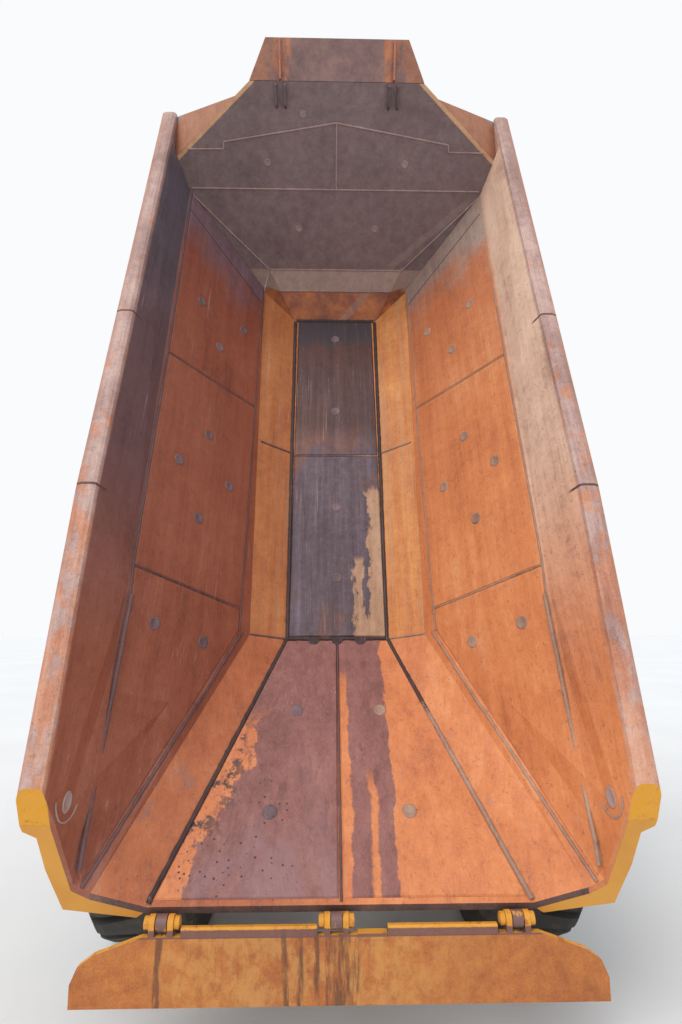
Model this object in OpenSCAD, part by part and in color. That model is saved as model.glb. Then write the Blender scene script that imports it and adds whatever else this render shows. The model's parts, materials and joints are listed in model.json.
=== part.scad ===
// Articulated dump truck with its dump body fully raised and its tailgate hanging.
// Millimetres, +Z up, +Y towards the cab, +X towards the right side of the truck.
// The origin is on the ground under the middle of the truck as it stands.

/* [Wheels and axles] */
// Outer diameter of a tyre over its lugs
tyre_d = 1880; // [1700:10:2000]
// Width of a tyre
tyre_w = 750; // [600:10:850]
// Depth of the grooves between the tread lugs
tread_depth = 50; // [30:1:70]
// Number of lugs along each shoulder of a tyre
lug_count = 24; // [18:1:30]
// Diameter of the rim at its bead seat
rim_d = 660; // [560:5:760]
// Distance between the tyre centres across the truck
track = 2640; // [2400:10:2800]
// Distance between the two rear axles
bogie_spread = 1940; // [1900:10:2200]
// Distance from the front axle to the first rear axle
wheel_base = 4500; // [4200:10:4800]
// Distance from the front axle back to the steering pivot
pivot_back = 1280; // [1100:10:1500]
// Distance from the front axle to the front of the bumper
front_overhang = 3100; // [2700:10:3300]

/* [Dump body] */
// Angle that the body is tipped to
tip_angle = 70; // [0:1:72]
// Height of the body hinge above the ground
hinge_z = 1550; // [1400:5:1700]
// Distance from the rearmost axle back to the body hinge
hinge_back = 400; // [300:5:600]
// Thickness of the body walls with their liners
wall_t = 30; // [16:1:40]
// Half width of the body over its rails
rail_x = 1650; // [1500:5:1700]
// Width of a rail
rail_w = 145; // [100:5:180]
// Height of a rail's side
rail_h = 150; // [80:5:200]
// Height of the rails above the main floor
rail_top = 1405; // [1200:5:1600]
// Rise of the tail end's floor above the main floor
tail_rise = 763; // [600:1:900]
// Length of the tail slope along the body
tail_run = 1714; // [1500:1:1900]
// Run of the end plane for each unit of its height
end_lean = 1.053; // [0.8:0.001:1.3]
// Run of the front wall for each unit of its height
front_lean = 0.45; // [0.2:0.01:0.7]
// Angle that the spill guard leans forward
guard_lean = 40; // [10:1:60]

/* [Tailgate] */
// Depth of the tailgate below its pins
gate_depth = 383; // [350:1:500]
// Thickness of the tailgate plate
gate_t = 40; // [30:1:70]
// Radius of the tailgate pins
gate_pin_r = 24; // [18:1:35]

/* [Frames] */
// Height of the frame rails' upper faces
rail_z_top = 1450; // [1400:5:1500]
// Height of the frame rails' lower faces
rail_z_bottom = 1160; // [1100:5:1200]
// Half width over the frame rails
frame_x = 450; // [400:5:500]
// Width of one frame rail
frame_rail_w = 120; // [80:5:160]
// Radius of the body hinge pins
hinge_pin_r = 45; // [30:1:60]
// Running clearance of a pin in its bore
run_gap = 0.06; // [0.02:0.01:0.1]

/* [Cab and hood] */
// Half width of the cab
cab_x = 800; // [700:5:900]
// Height of the cab roof
cab_top = 3770; // [3500:10:3900]
// Height of the cab floor's lower face
cab_bottom = 1990; // [1900:10:2100]
// Thickness of the cab walls
cab_t = 45; // [25:5:60]
// Half width of the hood
hood_x = 750; // [600:5:900]
// Thickness of the hood's panels
hood_t = 20; // [6:1:30]

/* [Hidden] */
$fn = 48;
tyre_r = tyre_d / 2;
rim_r = rim_d / 2;
wheel_x = track / 2;
axle_2_y = bogie_spread;
axle_1_y = bogie_spread + wheel_base;
pivot_y = axle_1_y - pivot_back;
bumper_y = axle_1_y + front_overhang;
pivot_z = 1200;
rear_reach = 1927;
mid_y = (bumper_y - rear_reach) / 2;
// The joint of the main floor and the tail, seen from the body hinge
joint_s = 620;
joint_h = 150;

// Moves shapes drawn from the rearmost axle into the part's frame
module from_axle() {
    translate([0, -mid_y, 0])
        children();
}

// The same for shapes drawn from the front axle
module from_front_axle() {
    from_axle()
        translate([0, axle_1_y, 0])
            children();
}

// Moves shapes drawn in the body's own directions, from the body hinge, to the tipped pose
module tipped() {
    translate([0, -hinge_back - mid_y, hinge_z])
        rotate([tip_angle, 0, 0])
            children();
}

// The same for shapes drawn from the joint of the main floor and the tail
module in_bed() {
    tipped()
        translate([0, joint_s, joint_h])
            children();
}

// Both sides of the truck
module both_sides() {
    children();
    mirror([1, 0, 0])
        children();
}

// A box given by its two corners
module box(a, b) {
    translate(a)
        cube(b - a);
}

// A cylinder along X between two positions
module rod_x(x0, x1, y, z, r) {
    translate([x0, y, z])
        rotate([0, 90, 0])
            cylinder(h = x1 - x0, r = r);
}

// A cylinder along Y between two positions
module rod_y(y0, y1, x, z, r) {
    translate([x, y0, z])
        rotate([-90, 0, 0])
            cylinder(h = y1 - y0, r = r);
}

// A plate with its outline in the Y and Z directions
module plate_x(x0, x1, outline) {
    translate([x0, 0, 0])
        rotate([90, 0, 90])
            linear_extrude(x1 - x0)
                polygon(outline);
}

// A solid skinned over rings with the same even number of corners, each clockwise from the
// first end. An end is closed by a strip between the ring's first and last halves.
module loft(rings) {
    n = len(rings[0]);
    m = len(rings);
    sides = [for (k = [0:m - 2]) for (i = [0:n - 1])
        let (j = (i + 1) % n, a = k * n + i, b = k * n + j, c = b + n, d = a + n)
        each [[a, c, b], [a, d, c]]];
    first_end = [for (i = [0:n / 2 - 2])
        let (c = n - 2 - i, d = n - 1 - i)
        each [[i, i + 1, c], [i, c, d]]];
    last_end = [for (f = first_end) [for (i = [2, 1, 0]) f[i] + (m - 1) * n]];
    polyhedron(points = [for (r = rings) each r], faces = concat(sides, first_end, last_end));
}

// Half sections of the body's inside at the end plane, the tail joint, the rail bend and the
// front wall. The corners as [x, height] are the floor edge, facet edge, side foot and
// side seam, and the height of the rail's top last
section_end = [[1041, tail_rise], [1330, 829], [1411, 863], [1470, 1135], 1272];
section_joint = [[389, 0], [665, 123], [735, 215], [1340, 1040], 1364];
section_bend = [[394, 0], [677, 128], [737, 210], [1348, 1030], rail_top];
section_front = [[418, 0], [740, 153], [745, 180], [1390, 1010], rail_top];
// Outward directions of the first four corners
outward = [[0, -1], [0.3, -0.95], [0.62, -0.78], [0.88, -0.48]];
bend_s = 530;
floor_front_s = 3425;
front_foot_s = 3625;
rail_front_s = 4667;
chamfer_x = 676;
chamfer_h = 352;
wall_top_x = 766;
wall_top_h = 1800;
wall_side_x = 1468;
wall_side_h = 1270;

// Position along the body of the end plane and of the front wall at a height
function end_s(h) = -tail_run + end_lean * (h - tail_rise);
function front_s(h) = front_foot_s + front_lean * h;

// One corner of a section moved outwards, as [x, height]
function moved(section, i, t) = section[i] + t * outward[i];

// Corners in space of a section at the end plane, at a plain station and at the front wall
function at_end(p) = [p[0], end_s(p[1]), p[1]];
function at_s(p, s) = [p[0], s, p[1]];
function at_front(p) = [p[0], front_s(p[1]), p[1]];

// The left half of the floor's closed outline
function floor_outline(section) = [
    [-section[1][0], section[1][1]],
    [-section[0][0], section[0][1]],
    [0, section[0][1]],
    [0, section[0][1] - wall_t],
    [-moved(section, 0, wall_t)[0], moved(section, 0, wall_t)[1]],
    [-moved(section, 1, wall_t)[0], moved(section, 1, wall_t)[1]]];

// The right rail's outline with its edges rounded by the load, for the height of its top
function rail_outline(top) = [
    [rail_x - rail_w, top - 34],
    [rail_x - rail_w + 9, top - 10],
    [rail_x - rail_w + 32, top],
    [rail_x - 48, top],
    [rail_x - 14, top - 14],
    [rail_x, top - 48],
    [rail_x, top - rail_h],
    [rail_x - rail_w + wall_t, top - rail_h]];

// The right side's closed outline with its rail
function side_outline(section) = concat(
    [for (i = [1:3]) section[i]],
    rail_outline(section[4]),
    [for (i = [3:-1:1]) moved(section, i, wall_t)]);

// Height of the tail's underside at a place along the body
function tail_under(s) = -wall_t - s * tail_rise / (tail_run + end_lean * wall_t) - 0.3;

module bed_floor() {
    front_ring = [for (p = floor_outline(section_front))
        abs(p[0]) < 500 ? [p[0], floor_front_s, p[1]] : at_front(p)];
    color("rosybrown")
        in_bed()
            both_sides()
                loft([[for (p = floor_outline(section_end)) at_end(p)],
                      [for (p = floor_outline(section_joint)) at_s(p, 0)],
                      [for (p = floor_outline(section_bend)) at_s(p, bend_s)],
                      front_ring]);
}

module bed_sides() {
    rings = [[for (p = side_outline(section_end)) at_end(p)],
             [for (p = side_outline(section_joint)) at_s(p, 0)],
             [for (p = side_outline(section_bend)) at_s(p, bend_s)],
             [for (p = side_outline(section_front)) at_front(p)]];
    // The wall's top runs on past the front wall, below the rail
    wing_foot = wall_side_h - 50;
    wing_top = rail_top - 50;
    wing = [[front_s(wing_foot) - 2, wing_foot], [rail_front_s - 20, wing_top - 15],
            [rail_front_s - 20, wing_top], [front_s(wing_top) - 2, wing_top]];
    color("chocolate")
        in_bed()
            both_sides() {
                loft(rings);
                loft([for (s = [4150, rail_front_s]) [for (p = rail_outline(rail_top)) at_s(p, s)]]);
                plate_x(rail_x - rail_w, rail_x - rail_w + wall_t, wing);
            }
}

module bed_front() {
    lean = atan(front_lean);
    half = [[chamfer_x + 0.6, chamfer_h + 0.3], [741, 154], [763, 157], [1416, 996],
            [1504, 1250], [wall_side_x, wall_side_h], [wall_top_x, wall_top_h]];
    outline = concat(half, [for (i = [len(half) - 1:-1:0]) [-half[i][0], half[i][1]]]);
    inner = [at_front([-chamfer_x, chamfer_h]), at_front([chamfer_x, chamfer_h]),
             at_front([740, 153]), [418, floor_front_s, 0], [-418, floor_front_s, 0],
             at_front([-740, 153])];
    gusset = [at_front([1502, 1251]) + [0, 28, -12.5], at_front([900, 1698]) + [0, 28, -12.5],
              [1504.7, 4660, rail_top - 40], [1504.7, 4560, rail_top - 53]];
    color("rosybrown")
        in_bed() {
            translate([0, front_foot_s, 0])
                rotate([90 - lean, 0, 0])
                    translate([0, 0, -wall_t])
                        linear_extrude(wall_t)
                            polygon([for (p = outline) [p[0], p[1] / cos(lean)]]);
            loft([inner, [for (p = inner) p + wall_t * [0, 0.69, -0.72]]]);
            both_sides()
                loft([gusset, [for (p = gusset) p + [0, 6, -14]]]);
        }
}

module bed_guard() {
    color("orange")
        in_bed()
            translate([0, front_s(wall_top_h) + 0.3, wall_top_h + 0.3])
                rotate([90 - guard_lean, 0, 0]) {
                    translate([0, 0, -16])
                        linear_extrude(16)
                            polygon([[-wall_top_x, 4.6], [wall_top_x, 4.6], [617, 318], [-617, 318]]);
                    // Ribs that taper towards the guard's edge
                    both_sides()
                        plate_x(487, 503, [[8, -0.5], [310, -0.5], [310, 12], [8, 58]]);
                }
    // Brackets below the guard on the front wall
    lean = atan(front_lean);
    color("orange")
        in_bed()
            translate([0, front_foot_s, 0])
                rotate([90 - lean, 0, 0])
                    both_sides()
                        for (x = [451, 529])
                            plate_x(x, x + 14, [[1770, 0.3], [1960, 0.3], [1960, 42], [1800, 42]]);
}

module bed_flange() {
    lean = atan(end_lean);
    band = [[1060, 736.8], [1339, 800], [1430, 839.1], [1497.3, 1120.2], [1535.4, 1121.6],
            [rail_x, 1121.6], [1641, 1095], [1572, 1068], [1548, 930], [1484, 757], [1100, 716]];
    color("gold")
        in_bed()
            translate([0, -tail_run, tail_rise])
                rotate([90 - lean, 0, 0])
                    both_sides()
                        translate([0, 0, -25])
                            linear_extrude(25)
                                polygon([for (p = band) [p[0], (p[1] - tail_rise) / cos(lean)]]);
}

// Places of the tailgate pins and of the hoist pins, seen from the tail joint
// The gate pins stay this far outside the tail's edge
tail_edge = [-tail_run, tail_rise];
gate_pin = tail_edge + [-70, 4];
gate_lug_x = [-945, -27, 935];
hoist_pin_s = 2600 - joint_s;
hoist_x = wheel_x - tyre_w / 2 - 140;

module bed_hinges() {
    lug = [[-800, tail_under(-800)], [-440, tail_under(-440)], [-510, -150], [-560, -235],
           [-680, -235], [-730, -150]];
    lug_s = [for (run = [234, -30]) -tail_run + run];
    gate_lug = [[lug_s[0], tail_under(lug_s[0])], [lug_s[1], tail_under(lug_s[1])],
                tail_edge + [-42, -27], gate_pin, gate_pin + [-37, -16], gate_pin + [8, -77],
                gate_pin + [164, -155]];
    color("goldenrod")
        in_bed() {
            both_sides()
                for (x = [274, 456])
                    difference() {
                        union() {
                            plate_x(x, x + 50, lug);
                            rod_x(x, x + 50, -joint_s, -joint_h, 105);
                        }
                        rod_x(x - 5, x + 55, -joint_s, -joint_h, hinge_pin_r + run_gap);
                    }
            for (x = gate_lug_x)
                difference() {
                    union() {
                        plate_x(x - 28, x + 28, gate_lug);
                        rod_x(x - 28, x + 28, gate_pin[0], gate_pin[1], 42);
                    }
                    rod_x(x - 33, x + 33, gate_pin[0], gate_pin[1], gate_pin_r + run_gap);
                }
            both_sides() {
                box([330, 60, -wall_t - 150], [388, 3300, -wall_t - 0.3]);
                box([380, hoist_pin_s - 100, -175], [hoist_x - 50, hoist_pin_s + 100, -30.3]);
                rod_x(hoist_x - 105, hoist_x - 50, hoist_pin_s, -joint_h, 85);
            }
            // Cross members between the two long beams, with sloped flanks
            for (s = [420, 1100, 1780, 2460, 3140])
                plate_x(-330, 330, [[s, -wall_t - 0.3], [s + 20, -wall_t - 90], [s + 90, -wall_t - 90],
                                    [s + 110, -wall_t - 0.3]]);
        }
}

// Runs of the bars along the tailgate's upper edge
gate_bars = [[-840, -130], [243, 822]];
// Section of a bar, seen from the pins, with its upper edges eased
gate_bar = [[-45, -56], [-6, -56], [-6, -18], [-14, -8], [-37, -8], [-45, -18]];

module tailgate() {
    half = [[1000, 52], [1045, 52], [1290, 135], [1365, 188], [1400, 270], [1400, gate_depth],
            [0, gate_depth], [0, 52]];
    p = gate_pin;
    color("darkgoldenrod")
        in_bed()
            translate([0, p[0], p[1]])
                rotate([-tip_angle, 0, 0]) {
                    // The plate hangs straight down, behind the pins
                    both_sides()
                        translate([0, -2, 0])
                            rotate([90, 0, 0])
                                linear_extrude(gate_t)
                                    polygon([for (q = half) [q[0], -q[1]]]);
                    for (x = gate_lug_x) {
                        for (side = [-1, 1])
                            translate([x + side * 49, 0, 0]) {
                                rod_x(-15, 15, 0, 0, 42);
                                box([-15, -gate_t - 2, -90], [15, 20, 0]);
                            }
                        rod_x(x - 95, x + 95, 0, 0, gate_pin_r);
                        for (collar = [-92, 66])
                            rod_x(x + collar, x + collar + 26, 0, 0, gate_pin_r + 10);
                    }
                    for (t = gate_bars)
                        plate_x(t[0], t[1], gate_bar);
                    // Stop at the middle of the upper edge
                    box([83, -gate_t - 5, -75], [238, 10, -45]);
                }
}

// Hoist cylinders between the frame and the body, drawn from the rearmost axle
hoist_foot = [440, 850];
hoist_head = [-hinge_back + 2600 * cos(tip_angle), hinge_z + 2600 * sin(tip_angle)];
hoist_run = hoist_head - hoist_foot;
hoist_len = norm(hoist_run);
hoist_tilt = atan2(hoist_run[1], hoist_run[0]);

// Draws along +Y from the foot pin towards the head pin
module on_hoist() {
    from_axle()
        translate([0, hoist_foot[0], hoist_foot[1]])
            rotate([hoist_tilt, 0, 0])
                children();
}

module hoist_barrels() {
    color("dimgray")
        on_hoist()
            both_sides()
                difference() {
                    union() {
                        rod_y(60, 1640, hoist_x, 0, 88);
                        rod_x(hoist_x - 42, hoist_x + 42, 0, 0, 78);
                    }
                    rod_x(hoist_x - 50, hoist_x + 50, 0, 0, 40 + run_gap);
                    rod_y(130, 1700, hoist_x, 0, 50 + run_gap);
                }
}

module hoist_rods() {
    color("silver")
        on_hoist()
            both_sides()
                {
                    rod_y(hoist_len - 1640, hoist_len, hoist_x, 0, 50);
                    rod_x(hoist_x - 42, hoist_x + 42, hoist_len, 0, 78);
                    rod_x(hoist_x - 45, hoist_x + 70, hoist_len, 0, 40);
                }
}

// Front end of the rear frame's rails
rails_end = pivot_y - 760;

module rear_frame() {
    color("gray")
        from_axle()
            difference() {
                union() {
                    both_sides() {
                        plate_x(frame_x - frame_rail_w, frame_x,
                                [[-250, rail_z_bottom], [rails_end, rail_z_bottom], [rails_end, rail_z_top],
                                 [-650, rail_z_top], [-650, rail_z_bottom + 70]]);
                        plate_x(336, 444, [[-640, 1440], [-180, 1440], [-310, 1580], [-490, 1580]]);
                        rod_x(336, 444, -hinge_back, hinge_z, 95);
                        rod_x(270, 510, -hinge_back, hinge_z, hinge_pin_r);
                        // Hoist arms
                        box([440, 340, 1180], [hoist_x - 100, 540, 1330]);
                        plate_x(hoist_x - 125, hoist_x - 100,
                                [[360, 850], [520, 850], [520, 1330], [360, 1330]]);
                        rod_x(hoist_x - 125, hoist_x - 100, hoist_foot[0], hoist_foot[1], 80);
                        rod_x(hoist_x - 125, hoist_x + 67, hoist_foot[0], hoist_foot[1], 40);
                        // Bogie shaft brackets
                        translate([0, bogie_spread / 2, 0])
                            plate_x(336, 444, [[-120, 880], [120, 880], [230, 1170], [-230, 1170]]);
                        for (y = [700, 1700, 2700])
                            box([340, y, rail_z_top], [440, y + 200, rail_z_top + 58]);
                    }
                    for (y = [-520, rails_end - 1500, rails_end - 500])
                        rod_x(-340, 340, y, 1300, 105);
                    box([-450, rails_end - 110, 990], [450, rails_end + 170, 1450]);
                    rod_y(rails_end + 160, rails_end + 460, 0, pivot_z, 290);
                    box([-60, -790, 1240], [60, -600, 1340]);
                }
                rod_y(rails_end + 100, rails_end + 470, 0, pivot_z, 190 + run_gap);
                rod_x(-460, 460, bogie_spread / 2, 960, 80.3);
                translate([0, -725, 1200])
                    cylinder(h = 200, r = 25);
            }
}

// Half of an axle's profile from its spindle's end to its differential, as [radius, place]
axle_half = [[0, wheel_x - 5], [100, wheel_x - 5], [100, 1010], [140, 1010], [150, 420], [185, 330],
             [265, 215]];

// An axle turned about X, with the differential's nose towards the drive shaft
module axle(y) {
    last = len(axle_half) - 1;
    translate([0, y, tyre_r])
        rotate([0, 90, 0])
            rotate_extrude()
                polygon(concat(axle_half, [for (i = [last:-1:0]) [axle_half[i][0], -axle_half[i][1]]]));
    rod_y(y + 40, y + 330, 0, tyre_r, 150);
    rod_y(y + 320, y + 380, 0, tyre_r, 95);
}

module bogie() {
    beam_x = hoist_x - 245;
    axle_mid = bogie_spread / 2;
    color("dimgray")
        from_axle() {
            axle(0);
            axle(axle_2_y);
            both_sides() {
                box([beam_x, -160, 690], [beam_x + 112, axle_2_y + 160, 890]);
                box([beam_x, axle_mid - 120, 690], [beam_x + 112, axle_mid + 120, 1040]);
            }
            rod_x(-beam_x - 112, beam_x + 112, axle_mid, 960, 80);
        }
}

module tail_lamps() {
    color("firebrick")
        from_axle()
            both_sides() {
                box([450.3, -640, 1190], [780, -600, 1300]);
                for (x = [520, 620, 720])
                    rod_y(-662, -630, x, 1245, 42);
            }
}

module hitch() {
    color("dimgray")
        from_axle()
            difference() {
                union() {
                    rod_y(rails_end + 180, rails_end + 550, 0, pivot_z, 190);
                    rod_y(rails_end + 466, rails_end + 550, 0, pivot_z, 270);
                    box([-130, rails_end + 540, 1010], [130, pivot_y, 1390]);
                    translate([0, pivot_y, 937])
                        cylinder(h = 526, r = 150);
                    both_sides()
                        for (z = [950, 1060])
                            box([100, pivot_y - 115, z], [340, pivot_y - 5, z + 30]);
                    both_sides()
                        translate([340, pivot_y - 60, 0])
                            for (z = [950, 1060])
                                translate([0, 0, z])
                                    cylinder(h = 30, r = 55);
                    both_sides()
                        translate([340, pivot_y - 60, 950])
                            cylinder(h = 140, r = 30);
                }
                translate([0, pivot_y, 900])
                    cylinder(h = 700, r = 70 + run_gap);
            }
}

// Steering cylinders between the hitch and the front frame, at rest along the truck
steer_from = [340, pivot_y - 60];
steer_to = [360, pivot_y + 950];
steer_run = steer_to - steer_from;
steer_len = norm(steer_run);
steer_turn = -atan2(steer_run[0], steer_run[1]);
steer_z = 1020;

module on_steer() {
    from_axle()
        translate([steer_from[0], steer_from[1], steer_z])
            rotate([0, 0, steer_turn])
                children();
}

module steer_barrel() {
    on_steer()
        difference() {
            union() {
                rod_y(115, 640, 0, 0, 50);
                rod_y(40, 120, 0, 0, 33);
                translate([0, 0, -34])
                    cylinder(h = 68, r = 52);
            }
            translate([0, 0, -40])
                cylinder(h = 80, r = 30 + run_gap);
            rod_y(122, 650, 0, 0, 30 + run_gap);
        }
}

module steer_rod() {
    on_steer()
        {
            rod_y(steer_len - 640, steer_len, 0, 0, 30);
            translate([0, steer_len, -34])
                cylinder(h = 68, r = 52);
            translate([0, steer_len, -50])
                cylinder(h = 85, r = 30);
        }
}

module steer_barrel_right() {
    color("dimgray")
        steer_barrel();
}

module steer_barrel_left() {
    color("dimgray")
        mirror([1, 0, 0])
            steer_barrel();
}

module steer_rod_right() {
    color("silver")
        steer_rod();
}

module steer_rod_left() {
    color("silver")
        mirror([1, 0, 0])
            steer_rod();
}

// A rectangle with eased corners
function eased(y0, y1, z0, z1, c) = [[y0 + c, z0], [y1 - c, z0], [y1, z0 + c], [y1, z1 - c],
    [y1 - c, z1], [y0 + c, z1], [y0, z1 - c], [y0, z0 + c]];

// Front and back of the hood and back of the bumper, seen from the front axle
hood_front = front_overhang - 140;
hood_back = 1060;
bumper_back = hood_front - 99.7;

module front_frame() {
    neck = 800 - pivot_back;
    color("gray")
        from_front_axle() {
            both_sides() {
                plate_x(frame_x - frame_rail_w, frame_x,
                        [[neck, rail_z_bottom], [hood_front - 500, rail_z_bottom],
                         [hood_front - 100, rail_z_bottom + 90], [hood_front - 100, rail_z_top],
                         [neck, rail_z_top]]);
                // Lugs over the eyes of the steering rods
                translate([steer_to[0], steer_to[1] - axle_1_y, 1061]) {
                    cylinder(h = 40, r = 55);
                    translate([-45, -45, 0])
                        cube([90, 90, 110]);
                }
            }
            for (z = [870, 1470])
                translate([0, 0, z]) {
                    translate([0, -pivot_back, 0])
                        cylinder(h = 60, r = 200);
                    box([-200, -pivot_back, 0], [200, neck + 100, 60]);
                }
            translate([0, -pivot_back, 850])
                cylinder(h = 700, r = 70);
            box([-100, 280 - pivot_back, 900], [100, neck + 80, 1500]);
            box([-frame_x, neck, rail_z_bottom], [frame_x, neck + 150, 1530]);
            for (y = [860, 2560])
                rod_x(-340, 340, y, 1200, 80);
            // Fuel tank on the right and battery box on the left, each with two brackets
            for (tank = [[480, 1200, 1280, 2540, 700], [-1000, -480, 1680, 2540, 860]]) {
                plate_x(tank[0], tank[1], eased(tank[2], tank[3], tank[4], 1340, 70));
                for (y = [tank[2] + 160, tank[3] - 240])
                    box([min(abs(tank[0]), abs(tank[1])) * sign(tank[0]) - 40, y, 1200],
                        [min(abs(tank[0]), abs(tank[1])) * sign(tank[0]) + 40, y + 80, 1300]);
            }
            // Cross beams that the hood rests on
            for (y = [1080, hood_front - 200])
                box([-742, y, 1390], [742, y + 80, 1479.7]);
        }
}

module front_axle() {
    color("dimgray")
        from_front_axle() {
            axle(0);
            both_sides()
                box([340, -100, tyre_r], [440, 100, rail_z_bottom - 0.3]);
        }
}

module engine() {
    color("darkslategray")
        from_front_axle()
            box([-329.7, 1210, 1290], [329.7, 2410, 2150]);
}

// The hood's hinge at its front edge, as [place from the front axle, height]
hood_axis = [hood_front + 20, 1470];

// A solid with a side outline and bevelled upper edges that start at a height
module bevelled(half, outline, start, bevel) {
    top = max([for (p = outline) p[1]]);
    intersection() {
        plate_x(-half, half, outline);
        translate([0, outline[1][0] + 50, 0])
            rotate([90, 0, 0])
                linear_extrude(outline[1][0] - outline[0][0] + 100)
                    polygon([[-half, outline[0][1] - 10], [half, outline[0][1] - 10], [half, start],
                             [half - bevel, top + 10], [bevel - half, top + 10], [-half, start]]);
    }
}

module hood() {
    outer = [[hood_back, 1480], [hood_front, 1480], [hood_front, 2180], [hood_front - 150, 2330],
             [hood_back, 2560]];
    inner = [[hood_back - 10, 1400], [hood_front - 20, 1400], [hood_front - 20, 2172],
             [hood_front - 159, 2311], [hood_back - 10, 2541]];
    color("gold") {
        from_front_axle()
            difference() {
                bevelled(hood_x, outer, 2230, 210);
                bevelled(hood_x - hood_t, inner, 2221, 206);
                box([-560, hood_front - 100, 1560], [560, hood_front + 100, 2120]);
                // Cooling slots in both flanks
                for (y = [1860:90:2670])
                    box([-hood_x - 10, y, 1690], [hood_x + 10, y + 34, 2060]);
                for (x = [-420, 420])
                    box([x - 66, hood_front - 30, 1470], [x + 66, hood_front + 10, 1505]);
            }
        from_front_axle()
            for (x = [-420, 420])
                difference() {
                    union() {
                        rod_x(x - 19, x + 19, hood_axis[0], hood_axis[1], 18);
                        box([x - 19, hood_front - 1, 1481], [x + 19, hood_front + 36, 1530]);
                        box([x - 19, hood_front - 15, 1503], [x + 19, hood_front + 1, 1530]);
                        box([x - 19, hood_axis[0] - 18, hood_axis[1]], [x + 19, hood_axis[0] + 16, 1490]);
                    }
                    rod_x(x - 25, x + 25, hood_axis[0], hood_axis[1], 10 + run_gap);
                }
    }
}

module grille() {
    color("black")
        from_front_axle() {
            difference() {
                box([-559.7, hood_front - 15, 1560.3], [559.7, hood_front, 2119.7]);
                box([-530, hood_front - 100, 1590], [530, hood_front + 100, 2090]);
            }
            for (z = [1610:60:2080])
                box([-540, hood_front - 13, z], [540, hood_front - 3, z + 22]);
        }
}

module bumper() {
    color("dimgray")
        from_front_axle()
            difference() {
                union() {
                    difference() {
                        translate([0, 0, 700])
                            linear_extrude(640)
                                polygon([[-1350, bumper_back], [1350, bumper_back],
                                         [1350, front_overhang - 120], [1180, front_overhang],
                                         [-1180, front_overhang], [-1350, front_overhang - 120]]);
                        translate([0, 0, 680])
                            linear_extrude(460)
                                polygon([[-1330, hood_front - 200], [1330, hood_front - 200],
                                         [1330, front_overhang - 145],
                                         [1165, front_overhang - 40], [-1165, front_overhang - 40],
                                         [-1330, front_overhang - 145]]);
                        // Cooling slots under the grille
                        for (x = [-540:180:360])
                            box([x, hood_front + 50, 1000], [x + 120, hood_front + 160, 1040]);
                        box([-110, hood_front, 740], [110, hood_front + 200, 960]);
                    }
                    box([-60, bumper_back, 800], [60, front_overhang, 900]);
                    box([-110, bumper_back, 740], [110, hood_front, 1150]);
                    for (x = [-420, 420]) {
                        for (side = [-42, 42])
                            translate([x + side - 18, hood_front + 4, 1339])
                                cube([36, 32, 149]);
                        rod_x(x - 60, x + 60, hood_axis[0], hood_axis[1], 10);
                    }
                }
                translate([0, hood_front + 90, 700])
                    cylinder(h = 300, r = 25);
                both_sides()
                    rod_y(hood_front, hood_front + 200, 1050, 1150, 92);
            }
}

module headlamps() {
    color("white")
        from_front_axle()
            both_sides()
                rod_y(hood_front + 0.3, hood_front + 130, 1050, 1150, 91);
}

module fenders() {
    arch = [[-740, 1700], [-590, 2000], [910, 2000], [1180, 1500], [1215, 1510], [930, 2030],
            [-608, 2030], [-772, 1715]];
    color("gold")
        from_front_axle()
            both_sides() {
                plate_x(905, 1690, arch);
                plate_x(1674, 1690, [[-772, 1715], [-760, 1655], [-560, 1950], [890, 1950],
                                     [1185, 1455], [1215, 1510], [930, 2030], [-608, 2030]]);
                box([cab_x + 0.3, -590, 1990], [906, 910, 2030]);
                box([frame_x + 0.3, 1110, 1250], [1000, 1210, 1350]);
                box([920, 1110, 1250], [1000, 1210, 1560]);
            }
}

cab_floor = cab_bottom + cab_t;
cab_back = -680;
cab_front = 980;
cab_outer = [[cab_back, cab_bottom], [cab_front, cab_bottom], [cab_front, 2500],
             [cab_front - 118, 3705], [cab_front - 180, cab_top], [cab_back + 60, cab_top],
             [cab_back, 3700]];
cab_inner = [[cab_back + cab_t, cab_bottom + cab_t], [cab_front - cab_t, cab_bottom + cab_t],
             [cab_front - cab_t, 2495], [cab_front - 161, 3682], [cab_front - 202, cab_top - cab_t],
             [cab_back + 82, cab_top - cab_t], [cab_back + cab_t, 3680]];

// The door's hinge axis as [across, along from the front axle], and its knuckles' lower ends
door_axis = [-816, 708];
door_hinge_z = [2150, 3450];
door_pin_r = 7;

module cab_shell() {
    color("gold")
        from_front_axle() {
            difference() {
                bevelled(cab_x, cab_outer, cab_top - 105, 105);
                bevelled(cab_x - cab_t, cab_inner, cab_top - 120, 93);
                box([-690, 760, 2520], [690, 1060, 3560]);
                box([-600, -740, 2500], [600, -540, 3500]);
                box([700, -490, 2450], [900, 710, 3560]);
                box([-900, -290, cab_floor + 5], [-700, 710, 3650]);
            }
            both_sides()
                for (y = [-300, 760])
                    box([340, y, rail_z_top + 0.3], [440, y + 120, cab_bottom + 1]);
            for (z = door_hinge_z)
                translate([door_axis[0], door_axis[1], z]) {
                    translate([0, 0, -16])
                        cylinder(h = 132, r = door_pin_r);
                    for (arm = [-16, 104])
                        translate([0, 0, arm]) {
                            cylinder(h = 12, r = 12);
                            translate([-12, 0, 0])
                                cube([24, 32, 12]);
                            translate([10, 8, 0])
                                cube([12, 24, 12]);
                        }
                }
        }
}

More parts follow.
